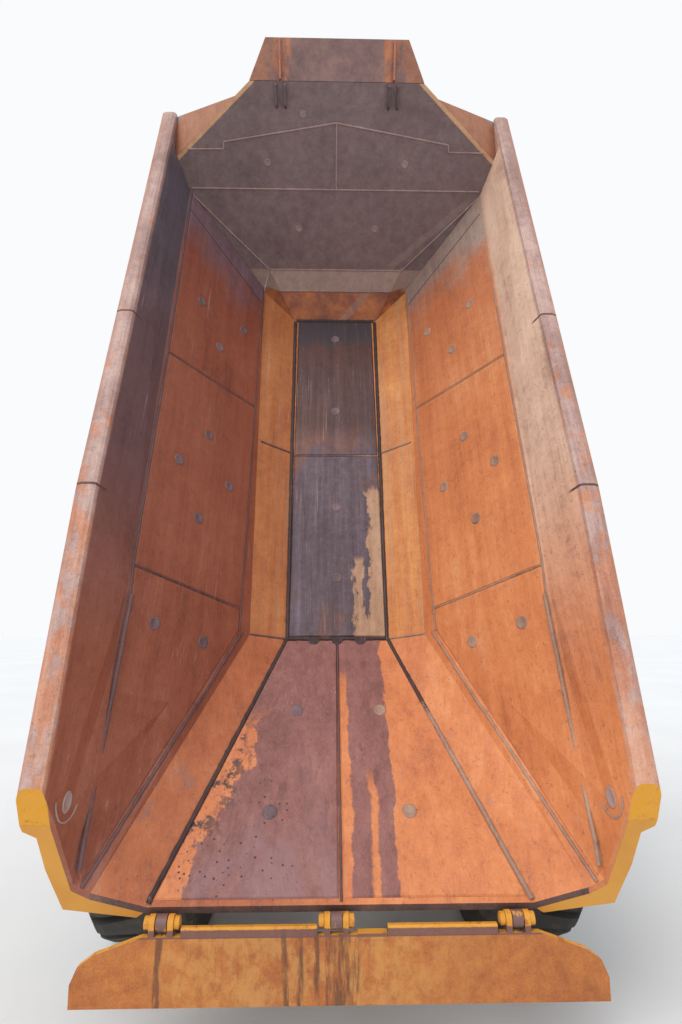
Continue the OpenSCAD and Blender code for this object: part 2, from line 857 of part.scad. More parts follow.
module cab_glass() {
    color("lightcyan", 0.35)
        from_front_axle() {
            plate_x(-689.7, 689.7, [[948, 2520.3], [960, 2520.3], [858.2, 3559.7], [846.2, 3559.7]]);
            box([-599.7, -665, 2500.3], [599.7, -653, 3499.7]);
            box([776, -489.7, 2450.3], [788, 709.7, 3559.7]);
        }
}

module door() {
    color("gold")
        from_front_axle() {
            difference() {
                box([-cab_x, -284, cab_floor + 11], [-cab_x + cab_t, 704, 3644]);
                box([-900, -190, 2500], [-700, 610, 3560]);
            }
            for (z = door_hinge_z)
                translate([door_axis[0], door_axis[1], z])
                    difference() {
                        union() {
                            cylinder(h = 100, r = 14);
                            translate([0, -60, 20])
                                cube([20, 60, 60]);
                        }
                        translate([0, 0, -5])
                            cylinder(h = 110, r = door_pin_r + run_gap);
                    }
        }
}

module door_glass() {
    color("lightcyan", 0.35)
        from_front_axle()
            box([-788, -189.7, 2500.3], [-776, 609.7, 3559.7]);
}

module seat() {
    color("black")
        from_front_axle() {
            box([-170, -240, cab_floor + 0.3], [170, 120, cab_floor + 300]);
            box([-270, -310, cab_floor + 300], [270, 240, cab_floor + 450]);
            box([-260, -440, cab_floor + 430], [260, -290, cab_floor + 1150]);
        }
}

module console() {
    color("black")
        from_front_axle() {
            plate_x(-600, 600, [[740, cab_floor + 0.3], [934.7, cab_floor + 0.3], [934.7, 2480],
                                [900, 2660], [740, 2620]]);
            translate([0, 730, 2680])
                rotate([-65, 0, 0]) {
                    rotate([180, 0, 0])
                        cylinder(h = 30, r = 230);
                    translate([0, 0, -10])
                        cylinder(h = 160, r = 35);
                }
        }
}

module handrails() {
    color("dimgray")
        from_front_axle() {
            for (x = [-1430, -1000])
                box([x, 1250, 460], [x + 30, 1520, 1980]);
            for (z = [480, 780, 1080, 1380, 1680])
                box([-1401, 1250, z], [-999, 1520, z + 30]);
            box([-1001, 1340, 1200], [-450.3, 1440, 1300]);
            both_sides() {
                translate([1560, 810, 2030.3])
                    cylinder(h = 700, r = 22);
                box([1440, 795, 2480], [1650, 825, 2980]);
            }
        }
}

module exhaust() {
    color("dimgray")
        from_front_axle()
            translate([1000, 780, 2030.3]) {
                cylinder(h = 900, r = 110);
                translate([0, 0, 890])
                    cylinder(h = 500, r = 60);
            }
}

// Half of a tyre's profile from its bead to its tread, as [radius, place across]
tyre_half = [[rim_r + 0.3, 300], [rim_r + 30, 330], [rim_r + 230, tyre_w / 2 - 5],
             [tyre_r - 180, tyre_w / 2], [tyre_r - 70, tyre_w / 2 - 23],
             [tyre_r - 15, tyre_w / 2 - 65], [tyre_r, tyre_w / 2 - 125]];

// Places a wheel drawn about Z with its outer face up, on the right side
module at_wheel(y) {
    from_axle()
        translate([wheel_x, y, tyre_r])
            rotate([0, 90, 0])
                children();
}

// A groove between two lugs, wider towards the shoulder, cut down to the tread's floor
module tread_groove(side) {
    rotate([0, 90, 0])
        translate([0, 0, tyre_r - tread_depth])
            linear_extrude(tread_depth + 30)
                polygon([[-side * 34, 24], [-side * 34, -24], [-side * (tyre_w / 2 - 120), 0],
                         [-side * (tyre_w / 2 + 20), 6], [-side * (tyre_w / 2 + 20), 116],
                         [-side * (tyre_w / 2 - 120), 92]]);
}

module tyre(y) {
    halves = len(tyre_half) - 1;
    color("dimgray")
        at_wheel(y)
            difference() {
                rotate_extrude($fn = 96)
                    polygon(concat(tyre_half, [for (i = [halves:-1:0]) [tyre_half[i][0], -tyre_half[i][1]]]));
                for (i = [0:lug_count - 1])
                    for (side = [-1, 1])
                        rotate([0, 0, (i + side / 4) * 360 / lug_count])
                            tread_groove(side);
            }
}

module rim(y) {
    color("gold")
        at_wheel(y)
            rotate_extrude($fn = 96)
                polygon([[100 + run_gap, -130], [190, -130], [190, 30], [rim_r - 30, 30],
                         [rim_r - 30, -310], [rim_r + 10, -345], [rim_r + 28, -345],
                         [rim_r + 28, -331.5], [rim_r, -300.3], [rim_r, 300.3], [rim_r + 28, 331.5],
                         [rim_r + 28, 345], [rim_r + 10, 345], [rim_r - 30, 310],
                         [rim_r - 30, 60], [235, 60], [220, 78], [190, 78], [175, 150], [120, 172],
                         [0, 172], [0, 0], [100 + run_gap, 0]]);
}

module tyre_1_right() { tyre(axle_1_y); }
module tyre_2_right() { tyre(axle_2_y); }
module tyre_3_right() { tyre(0); }
module tyre_1_left() { mirror([1, 0, 0]) tyre(axle_1_y); }
module tyre_2_left() { mirror([1, 0, 0]) tyre(axle_2_y); }
module tyre_3_left() { mirror([1, 0, 0]) tyre(0); }
module rim_1_right() { rim(axle_1_y); }
module rim_2_right() { rim(axle_2_y); }
module rim_3_right() { rim(0); }
module rim_1_left() { mirror([1, 0, 0]) rim(axle_1_y); }
module rim_2_left() { mirror([1, 0, 0]) rim(axle_2_y); }
module rim_3_left() { mirror([1, 0, 0]) rim(0); }

rear_frame();
bogie();
tail_lamps();
bed_floor();
bed_sides();
bed_front();
bed_guard();
bed_flange();
bed_hinges();
tailgate();
hoist_barrels();
hoist_rods();
hitch();
steer_barrel_left();
steer_barrel_right();
steer_rod_left();
steer_rod_right();
front_frame();
front_axle();
engine();
hood();
grille();
bumper();
headlamps();
fenders();
cab_shell();
cab_glass();
door();
door_glass();
seat();
console();
handrails();
exhaust();
tyre_1_left();
tyre_1_right();
tyre_2_left();
tyre_2_right();
tyre_3_left();
tyre_3_right();
rim_1_left();
rim_1_right();
rim_2_left();
rim_2_right();
rim_3_left();
rim_3_right();
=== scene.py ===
# %% [markdown]
# # An articulated dump truck, seen into its raised body
# The solids of the truck come from the CAD frame. This lesson gives them their finishes, and adds
# what is too fine for the solids: liner plates, weld beads, plug welds, bolts, seals and small
# trim. The first step loads the frame.

# %% Load the frame
import json
import math

import bmesh
import bpy
from mathutils import Matrix, Vector
from mathutils.bvhtree import BVHTree


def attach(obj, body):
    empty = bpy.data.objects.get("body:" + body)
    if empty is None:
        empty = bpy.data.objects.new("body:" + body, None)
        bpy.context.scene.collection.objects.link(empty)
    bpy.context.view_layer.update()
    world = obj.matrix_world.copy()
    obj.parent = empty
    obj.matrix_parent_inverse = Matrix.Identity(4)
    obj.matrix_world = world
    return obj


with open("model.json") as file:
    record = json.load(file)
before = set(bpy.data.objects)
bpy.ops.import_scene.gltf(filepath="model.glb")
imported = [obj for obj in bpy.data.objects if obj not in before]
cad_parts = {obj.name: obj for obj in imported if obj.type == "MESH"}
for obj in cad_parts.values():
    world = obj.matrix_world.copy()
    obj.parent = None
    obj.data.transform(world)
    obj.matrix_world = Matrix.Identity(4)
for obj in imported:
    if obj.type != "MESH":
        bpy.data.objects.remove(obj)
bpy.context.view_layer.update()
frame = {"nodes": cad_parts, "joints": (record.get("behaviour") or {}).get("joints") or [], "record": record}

for imported in list(bpy.data.materials):
    bpy.data.materials.remove(imported)
NODES = frame["nodes"]
JOINTS = {joint["name"]: joint for joint in frame["joints"]}

# %% [markdown]
# ## The camera
# The picture was taken from the ground behind the truck with a wide lens tilted up. Its place and
# angles were worked out from the corners of the body. A portrait frame puts the 36 mm sensor
# upright.

# %% Camera
CAMERA_PLACE = (-0.083, -9.086, 2.3745)
CAMERA_TILT = math.radians(9.309)
CAMERA_TURN = math.radians(-1.325)
CAMERA_ROLL = math.radians(-0.1)
LENS_MM = 21.93

camera_data = bpy.data.cameras.new("rear_camera")
camera_data.sensor_width = 36.0
camera_data.lens = LENS_MM
camera_data.clip_end = 200
camera = bpy.data.objects.new("rear_camera", camera_data)
camera.matrix_world = (
    Matrix.Translation(CAMERA_PLACE)
    @ Matrix.Rotation(CAMERA_TURN, 4, "Z")
    @ Matrix.Rotation(math.pi / 2 + CAMERA_TILT, 4, "X")
    @ Matrix.Rotation(CAMERA_ROLL, 4, "Z")
)
bpy.context.scene.collection.objects.link(camera)
bpy.context.scene.camera = camera
print("lens", LENS_MM, "mm")

# %% [markdown]
# ## Light and floor
# A cloudy sky lights a truck from all over, a little more from above and behind it. A plain world
# does that, with one wide sun for direction. The world looks white to the camera and to
# mirrors, and lights the truck at a lower level, so that the background never blows out the paint.

# %% World and sun
SKY_LEVEL = 0.85
SUN_LEVEL = 1.6
SKY_COLOUR = (0.93, 0.965, 1.0, 1)

scene = bpy.context.scene
scene.view_settings.view_transform = "Standard"
world = bpy.data.worlds.new("cloudy_sky")
scene.world = world
world.use_nodes = True
sky = world.node_tree
sky.nodes.clear()
light_path = sky.nodes.new("ShaderNodeLightPath")
seen = light_path.outputs["Is Camera Ray"]
for ray in ("Is Glossy Ray", "Is Transmission Ray"):
    either = sky.nodes.new("ShaderNodeMath")
    either.operation = "MAXIMUM"
    sky.links.new(seen, either.inputs[0])
    sky.links.new(light_path.outputs[ray], either.inputs[1])
    seen = either.outputs[0]
lit, backdrop = (sky.nodes.new("ShaderNodeBackground") for _ in range(2))
lit.inputs["Color"].default_value = SKY_COLOUR
lit.inputs["Strength"].default_value = SKY_LEVEL
backdrop.inputs["Color"].default_value = (0.95, 0.965, 0.975, 1)
backdrop.inputs["Strength"].default_value = 1.0
choice = sky.nodes.new("ShaderNodeMixShader")
sky_output = sky.nodes.new("ShaderNodeOutputWorld")
sky.links.new(seen, choice.inputs[0])
sky.links.new(lit.outputs[0], choice.inputs[1])
sky.links.new(backdrop.outputs[0], choice.inputs[2])
sky.links.new(choice.outputs[0], sky_output.inputs[0])

sun_data = bpy.data.lights.new("soft_sun", "SUN")
sun_data.energy = SUN_LEVEL
sun_data.angle = math.radians(35)
sun_data.color = (1.0, 0.975, 0.94)
sun = bpy.data.objects.new("soft_sun", sun_data)
SUN_FROM = Vector((-0.62, -0.9, 1.25))
sun.rotation_euler = SUN_FROM.to_track_quat("Z", "Y").to_euler()
scene.collection.objects.link(sun)

# %% [markdown]
# ## The body's own directions
# The body is tipped by 70 degrees, so its length and height are not the truck's. One function turns
# a place in the body, counted from the joint of floor and tail, into a point of the truck. Every
# plate, weld and stain below is placed with it.

# %% Body coordinates
TIP = math.radians(70)
HINGE = Vector(JOINTS["bed_tip"]["pos_m"])
TAIL_JOINT_ALONG, TAIL_JOINT_UP = 0.620, 0.150


def in_bed(x, s, h):
    """A point of the tipped body from the tail joint: x across, s along the floor, h above it."""
    along, up = s + TAIL_JOINT_ALONG, h + TAIL_JOINT_UP
    return HINGE + Vector(
        (x, along * math.cos(TIP) - up * math.sin(TIP), along * math.sin(TIP) + up * math.cos(TIP))
    )


BED_WAY = in_bed(0, 1, 0) - in_bed(0, 0, 0)


def along_bed(point):
    """How far along the body's floor a point of the truck lies."""
    return (point - in_bed(0, 0, 0)).dot(BED_WAY)


print("the joint of floor and tail is at", tuple(round(c, 3) for c in in_bed(0, 0, 0)))

# %% [markdown]
# ## A short way to write finishes
# Every finish here is a small tree of nodes around one Principled shader. Writing each link by hand
# hides the idea, so one class wraps it: it makes a node, fills its sockets and hands back an
# output. Outputs can be added and multiplied with the usual signs, and each sign adds a Math node.
# Colours are written as on a screen, from 0 to 255, and turned into the light values that Cycles
# uses.


# %% Node helper
def rgb(red, green, blue):
    """A screen colour as linear light."""
    values = [c / 255 for c in (red, green, blue)]
    return [c / 12.92 if c <= 0.04045 else ((c + 0.055) / 1.055) ** 2.4 for c in values] + [1.0]


def shades(*stops):
    """The stops of a colour ramp, each a place from 0 to 1 with its screen colour."""
    return [(place, rgb(*colour)) for place, *colour in stops]


class Value:
    """What a node puts out, which can be added, subtracted and multiplied like a number."""

    def __init__(self, nodes, socket):
        self.nodes, self.socket = nodes, socket

    def __add__(self, other):
        return self.nodes.calc("ADD", self, other)

    def __sub__(self, other):
        return self.nodes.calc("SUBTRACT", self, other)

    def __rsub__(self, other):
        return self.nodes.calc("SUBTRACT", other, self)

    def __mul__(self, other):
        return self.nodes.calc("MULTIPLY", self, other)

    def __abs__(self):
        return self.nodes.calc("ABSOLUTE", self)


class Nodes:
    """A node tree with a short way to add nodes to it."""

    def node(self, kind, out=0, settings=None, **inputs):
        """Adds a node and fills its sockets, each named in words or as i and its number."""
        made = self.tree.nodes.new(kind)
        for key, value in (settings or {}).items():
            setattr(made, key, value)
        for key, value in inputs.items():
            by_number = key[1:].isdigit()
            self.fill(made.inputs[int(key[1:]) if by_number else key.replace("_", " ")], value)
        return Value(self, made.outputs[out])

    def fill(self, socket, value):
        """Links a node's output to a socket, or writes a plain value into it."""
        if isinstance(value, Value):
            self.tree.links.new(value.socket, socket)
        else:
            socket.default_value = value

    def calc(self, operation, a, b=0.0, clamp=False):
        """A Math node on one or two values."""
        settings = {"operation": operation, "use_clamp": clamp}
        return Nodes.node(self, "ShaderNodeMath", settings=settings, i0=a, i1=b)


# %% [markdown]
# ## A class for finishes
# Patterns on the body need its own directions, because streaks follow the load as it slides. A
# Mapping node of the texture kind turns the truck's coordinates into the body's width, length and
# height. The recipes are few: noise, a soft step, masks, blends, a colour ramp and a bump.


# %% Finish helper
class Finish(Nodes):
    """A material and the few node recipes that this lesson uses again and again."""

    def __init__(self, name, on_body=False):
        self.material = bpy.data.materials.new(name)
        self.material.use_nodes = True
        self.tree = self.material.node_tree
        self.shader = self.tree.nodes["Principled BSDF"]
        self.place = self.node("TexCoord", out="Object")
        if on_body:
            self.place = self.node(
                "Mapping",
                settings={"vector_type": "TEXTURE"},
                Vector=self.place,
                Location=in_bed(0, 0, 0),
                Rotation=(TIP, 0, 0),
            )

    def node(self, kind, *out, **inputs):
        return super().node("ShaderNode" + kind, *out, **inputs)

    def axis(self, name):
        return self.node("SeparateXYZ", out=name, Vector=self.place)

    def facing(self, way):
        """1 where the skin looks the given way, 0 where it lies along it, -1 looking away."""
        skin = self.node("TexCoord", out="Normal")
        return self.node(
            "VectorMath", out="Value", settings={"operation": "DOT_PRODUCT"}, i0=skin, i1=way
        )

    def noise(self, scale, detail=4, rough=0.55, stretch=(1, 1, 1), warp=0.0, seed=0.0):
        """Noise between 0 and 1, finer along a direction that is stretched more."""
        settings = {"operation": "MULTIPLY_ADD"}
        stretched = self.node(
            "VectorMath", settings=settings, i0=self.place, i1=stretch, i2=(seed,) * 3
        )
        return self.node(
            "TexNoise",
            Vector=stretched,
            Scale=scale,
            Detail=detail,
            Roughness=rough,
            Distortion=warp,
        )

    def sway(self, amount, scale, **noise):
        """Noise around 0 that reaches half the amount either way."""
        return (self.noise(scale, **noise) - 0.5) * amount

    def step(self, value, low, high):
        """0 below low and 1 above high, or the other way round, with a soft edge."""
        settings = {"interpolation_type": "SMOOTHSTEP"}
        return self.node("MapRange", settings=settings, Value=value, From_Min=low, From_Max=high)

    def both(self, *masks):
        """1 where all the masks are 1."""
        product = masks[0]
        for mask in masks[1:]:
            product = product * mask
        return product

    def either(self, a, b):
        """1 where one of two masks is 1."""
        return self.calc("MAXIMUM", a, b)

    def blend(self, factor, a, b, how="MIX"):
        """Colour b over colour a where the factor is 1."""
        settings = {"data_type": "RGBA", "blend_type": how}
        return self.node("Mix", out=2, settings=settings, i0=factor, i6=a, i7=b)

    def ramp(self, value, stops):
        """The colour that a value has on a list of (place, colour) stops."""
        made = self.node("ValToRGB", Fac=value)
        elements = made.socket.node.color_ramp.elements
        while len(elements) < len(stops):
            elements.new(0.5)
        for element, (position, colour) in zip(elements, stops):
            element.position, element.color = position, colour
        return made

    def bump(self, height, depth, strength=1.0):
        """Raises the skin by a depth in metres where the height is 1, on top of earlier bumps."""
        normal = self.shader.inputs["Normal"]
        before = {"Normal": Value(self, normal.links[0].from_socket)} if normal.is_linked else {}
        raised = self.node("Bump", Height=height, Distance=depth, Strength=strength, **before)
        self.fill(normal, raised)

    def done(self, colour, roughness, metallic=0.0):
        values = {"Base Color": colour, "Roughness": roughness, "Metallic": metallic}
        for name, value in values.items():
            self.fill(self.shader.inputs[name], value)
        print("finish:", self.material.name, len(self.tree.nodes), "nodes")
        return self.material


# %% [markdown]
# ## Worn steel
# The inside of the body is bare steel: rock has rubbed the paint off, and rain has rusted the rest.
# Four scales of noise make it: clouds a metre wide, streaks that run the way the load slides,
# flakes a few centimetres wide and fine grain. A colour ramp from dark to bright rust turns them
# into colour.


# %% Worn steel
def rust(finish, tones, cloud=1.1, calm=0.7, streak=0.5, flake=0.4, grain=0.35, seed=0.0):
    """A rust colour from clouds, streaks, flakes and grain, and the value that drives it."""
    clouds = finish.noise(cloud, detail=7, rough=0.62, warp=0.5, seed=seed)
    total = (clouds - 0.5) * calm + 0.5
    layers = [
        (finish.noise(1.0, detail=6, rough=0.62, stretch=(11, 0.7, 11), seed=seed + 3), streak),
        (
            finish.noise(1.0, detail=4, rough=0.7, stretch=(70, 2.4, 70), seed=seed + 5),
            streak * 0.5,
        ),
        (finish.noise(14, detail=7, rough=0.72, warp=0.4, seed=seed + 7), flake),
        (finish.noise(110, detail=4, rough=0.75, seed=seed), grain),
    ]
    for value, share in layers:
        total = total + (value - 0.5) * share
    return finish.ramp(total, tones), total


def rubbed_and_pitted(finish, colour, scars):
    """Grey scratches along the load's way, crisp dark flakes and small black pits over a colour."""
    scratch = finish.noise(1.0, detail=5, rough=0.75, stretch=(85, 1.3, 85), seed=41)
    patch = finish.noise(1.8, detail=5, rough=0.6, seed=43)
    scratched = finish.both(
        finish.step(scratch, 0.57, 0.66), finish.step(patch, 0.46, 0.6), 0.42 * scars
    )
    colour = finish.blend(scratched, colour, rgb(178, 150, 146))
    flakes = finish.noise(24, detail=8, rough=0.8, stretch=(1.3, 0.8, 1.3), seed=47)
    colour = finish.blend(
        finish.both(finish.step(flakes, 0.57, 0.61), 0.3 * scars), colour, rgb(84, 50, 44)
    )
    pits = finish.node(
        "TexVoronoi", out="Distance", Vector=finish.place, Scale=30.0, Randomness=1.0
    )
    pitted = finish.both(
        finish.step(pits, 0.13, 0.09), finish.step(finish.noise(5, detail=3, seed=51), 0.52, 0.6)
    )
    finish.bump(pitted, -0.0015, 0.6)
    return finish.blend(finish.both(pitted, 0.6 * scars), colour, rgb(52, 36, 34))


def finish_worn(name, tones, on_body=True, rough=0.72, zones=None, scars=1.0, **scales):
    """Bare worn steel, with an optional function that paints the zones of one piece."""
    finish = Finish(name, on_body=on_body)
    colour, value = rust(finish, tones, **scales)
    if zones:
        colour = zones(finish, colour, value)
    if scars:
        colour = rubbed_and_pitted(finish, colour, scars)
    scuffs = finish.noise(2.2, detail=8, rough=0.7, stretch=(14, 0.6, 14), seed=21)
    finish.bump(finish.noise(34, detail=8, rough=0.75), 0.005, 0.7)
    finish.bump(scuffs, 0.006, 0.4)
    roughness = finish.step(scuffs, 0.35, 0.7) * -0.22 + rough
    return finish.done(colour, roughness, 0.0)


# %% [markdown]
# ## The finishes of the body
# Each part of the body has its own tones. The floor plates are polished dark by the load, with one
# ochre patch left near the tail. The side liners are bright rust, greyer above the liners where
# only dust rubs, and painted shade makes the left side darker and browner than the right one. The
# tail's left plate is stained dark.

# %% Tones of the steel
ORANGE = shades(
    (0.2, 150, 86, 54), (0.42, 198, 116, 69), (0.6, 216, 134, 82), (0.82, 228, 164, 118)
)
AMBER = shades((0.2, 148, 88, 48), (0.42, 194, 118, 62), (0.6, 214, 142, 78), (0.82, 226, 178, 126))
# The pale TAN of the dusted walls above the liners also paints the sky's reflection on them
TAN = shades(
    (0.2, 150, 114, 98), (0.45, 214, 176, 152), (0.62, 230, 194, 170), (0.85, 238, 212, 192)
)
PURPLE = shades((0.2, 48, 36, 42), (0.45, 78, 60, 68), (0.62, 106, 88, 100), (0.85, 134, 116, 126))
RED_BROWN = shades(
    (0.2, 92, 54, 50), (0.45, 132, 82, 76), (0.62, 150, 100, 92), (0.85, 178, 130, 116)
)
GREY_BROWN = shades(
    (0.2, 76, 60, 60), (0.45, 112, 92, 92), (0.62, 132, 112, 110), (0.85, 164, 144, 136)
)
PALE_GREY = shades(
    (0.2, 104, 84, 78), (0.45, 146, 120, 110), (0.62, 164, 140, 128), (0.85, 186, 164, 150)
)
OCHRE = shades((0.2, 118, 62, 34), (0.45, 170, 98, 46), (0.62, 196, 122, 58), (0.85, 214, 154, 84))
YELLOW = shades((0.2, 186, 122, 36), (0.5, 216, 148, 44), (0.8, 228, 168, 62))
OCHRE_RUST = shades(
    (0.2, 118, 70, 54), (0.45, 158, 104, 78), (0.65, 184, 124, 92), (0.85, 206, 156, 122)
)
CHAMFER_RUST = shades(
    (0.2, 92, 56, 46), (0.45, 140, 82, 56), (0.6, 176, 104, 60), (0.85, 214, 140, 70)
)
RUST_VIOLET = shades(
    (0.2, 78, 56, 58), (0.42, 120, 92, 90), (0.6, 146, 112, 104), (0.8, 178, 124, 92)
)
RIM_CREAM = shades((0.25, 150, 92, 60), (0.5, 206, 158, 116), (0.75, 226, 194, 156))
DARK_EDGE = shades((0.3, 70, 50, 46), (0.5, 98, 70, 64), (0.75, 130, 94, 82))
TAN_OCHRE = shades(
    (0.2, 128, 90, 62), (0.45, 168, 128, 98), (0.62, 188, 150, 120), (0.85, 206, 174, 148)
)
RAIL_GREY = shades(
    (0.2, 118, 88, 82), (0.45, 168, 134, 126), (0.62, 198, 166, 156), (0.85, 220, 194, 184)
)
RAIL_RUST = shades(
    (0.2, 130, 78, 60), (0.45, 184, 120, 92), (0.62, 206, 150, 122), (0.85, 220, 178, 158)
)
BARE_RED = shades((0.2, 62, 38, 36), (0.45, 98, 62, 54), (0.62, 122, 80, 68), (0.85, 150, 106, 90))

# %% [markdown]
# ## Zones and masks
# One piece of steel can be rusty in one place and dusty in another. A zone is a mask between 0 and
# 1, made from a place along the body, a height or a direction, and a blend lays one colour over
# another where the mask is 1. Noise added to the place gives the zone a ragged edge.

# %% Masks
# The ways that the body's underside, front and open end face, in the truck's own directions. The
# end plane moves forward along the body by END_LEAN for each metre of height.
END_LEAN = 1.053
UNDER_WAY = (0.0, math.sin(TIP), -math.cos(TIP))
FRONT_WAY = (0.0, math.cos(TIP), math.sin(TIP))
END_WAY = tuple((-Vector(FRONT_WAY) - END_LEAN * Vector(UNDER_WAY)).normalized())


def thin_line(finish, value, place, half):
    """1 on a thin line across a direction and 0 beside it."""
    distance = abs(value - place)
    return finish.step(distance, half, half * 0.4)


def darker_left(finish, colour, shade, front_shade=None):
    """Painted shade on the left side: darker and browner than the right, bluer towards the front."""
    left = finish.step(finish.axis("X"), 0.2, -0.5)
    if front_shade:
        shade = finish.blend(finish.step(finish.axis("Y"), 1.4, 3.2), shade, front_shade)
    return finish.blend(left, colour, shade, "MULTIPLY")


def grey_front(finish, colour, value, start=3.0, end=3.75):
    """Dust turns the rust grey towards the front wall, in ragged patches."""
    ragged = finish.sway(1.6, 2.4, detail=7, rough=0.65, seed=31)
    along = finish.axis("Y") + ragged
    return finish.blend(finish.step(along, start, end), colour, finish.ramp(value, PALE_GREY))


# %% [markdown]
# ## Sides and liners
# The walls above the liners are only dusted, so they are greyer, and their pale tan holds painted
# sky reflection. Painted shade darkens the left side. A plain corner plate closes the liners towards
# the front wall, with a dark seam between them.


# %% Side zones
def side_zones(finish, colour, value):
    """Greyer above the liners and towards the front, with painted shade on the left side."""
    along, height = finish.axis("Y"), finish.axis("Z")
    tail_drop = finish.calc("MINIMUM", along, 0.0) * -0.09
    edge = height + tail_drop
    upper = finish.both(finish.step(edge, 0.99, 1.03), finish.step(along, -0.8, 1.2))
    # The pale tan above the liners holds painted sky reflection, and painted shade darkens it on the left
    wall = darker_left(finish, finish.ramp(value, TAN), rgb(119, 106, 126), rgb(108, 117, 152))
    colour = darker_left(
        finish, grey_front(finish, colour, value), rgb(180, 172, 208), rgb(196, 184, 218)
    )
    return finish.blend(upper, colour, wall)


def corner_plate(finish, colour, value):
    """A plain grey-brown plate fills the corner between the liners and the front wall."""
    from_wall = finish.axis("Y") - finish.axis("Z") * 0.45
    wander = finish.sway(0.05, 3, detail=6)
    colour = finish.blend(
        finish.step(from_wall + wander, 3.37, 3.38), colour, finish.ramp(value, PALE_GREY)
    )
    return finish.blend(thin_line(finish, from_wall, 3.37, 0.012), colour, rgb(96, 74, 68))


def liner_zones(finish, colour, value):
    """The liners carry the walls' painted shade and dust, and darken a little towards the front."""
    along = finish.axis("Y")
    colour = finish.blend(finish.step(along, 1.2, 3.6), colour, rgb(222, 212, 216), "MULTIPLY")
    colour = corner_plate(finish, grey_front(finish, colour, value), value)
    return darker_left(finish, colour, rgb(180, 172, 208), rgb(196, 184, 218))


# %% [markdown]
# ## The floor
# Two plates carry most of the load. They are rubbed down to violet steel, with the front wall's
# shade painted nearly black over their damp front end, and a hook of old ochre dust is left on the
# right. The facets beside them are amber.


# %% Floor zones
def floor_zones(finish, colour, value):
    """Amber facets beside the plates with pale streaks, redder on the tail, dark at its end."""
    along = finish.axis("Y")
    streaks = finish.noise(1.0, detail=5, rough=0.6, stretch=(22, 0.35, 22), seed=61)
    amber = finish.blend(
        finish.both(finish.step(streaks, 0.52, 0.64), 0.45),
        finish.ramp(value, AMBER),
        rgb(178, 140, 108),
    )
    colour = finish.blend(finish.step(along, -0.05, 0.05), colour, amber)
    scraped = finish.noise(9, detail=8, rough=0.8, stretch=(1, 0.6, 1), seed=66)
    scraped = finish.both(
        finish.step(scraped, 0.56, 0.62), thin_line(finish, along, -1.25, 0.4), 0.5
    )
    colour = finish.blend(scraped, colour, rgb(150, 128, 124))
    # Painted shade: the left side is darker, as on the walls, before the outside is painted yellow
    colour = painted_outside(finish, darker_left(finish, colour, rgb(216, 206, 212)), value)
    return finish.blend(
        finish.step(finish.facing(END_WAY), 0.8, 0.9), colour, finish.ramp(value, DARK_EDGE)
    )


def floor_plate_zones(finish, colour, value):
    """Blue-violet and red-brown fields, a black band at the front, a hook of ochre on the right."""
    across, along = finish.axis("X"), finish.axis("Y")
    field = finish.noise(1.25, detail=5, rough=0.55, stretch=(1.0, 0.8, 1), warp=0.6, seed=63)
    drift = field + along * 0.035
    red = finish.either(
        finish.step(drift, 0.5, 0.62), finish.both(finish.step(along, 1.85, 2.05), 0.75)
    )
    colour = finish.blend(red, colour, finish.ramp(value, BARE_RED))
    colour = finish.blend(finish.step(along, 1.86, 2.1), colour, rgb(196, 182, 188), "MULTIPLY")
    # Painted shade: the front wall's shade is painted nearly black over the damp front end of the plates
    wander = finish.sway(0.35, 4, detail=6)
    wet = finish.step(along + wander, 3.0, 3.2)
    colour = finish.blend(finish.both(wet, 0.8), colour, rgb(52, 48, 58))
    ragged = finish.noise(6, detail=8, rough=0.7, stretch=(1.4, 0.7, 1), seed=2)
    ragged = (ragged - 0.5) * 0.32
    shifted = across + ragged
    strip = finish.both(finish.step(shifted, 0.27, 0.285), finish.step(along + ragged, 1.42, 1.35))
    hook = finish.both(thin_line(finish, shifted, 0.17, 0.045), finish.step(along, 0.72, 0.65))
    foot = finish.both(finish.step(shifted, 0.14, 0.16), finish.step(along + ragged, 0.2, 0.17))
    patch = finish.either(finish.either(strip, hook), foot)
    return finish.blend(patch, colour, finish.ramp(value, TAN_OCHRE))


# %% [markdown]
# ## The tail plates
# Wet loads slide off over the tail and stain it. The left plate is dark nearly all over and eaten
# by rust in places, and the right one keeps bright rust beside a dark band. Many thin masks do it,
# laid over each other one by one.


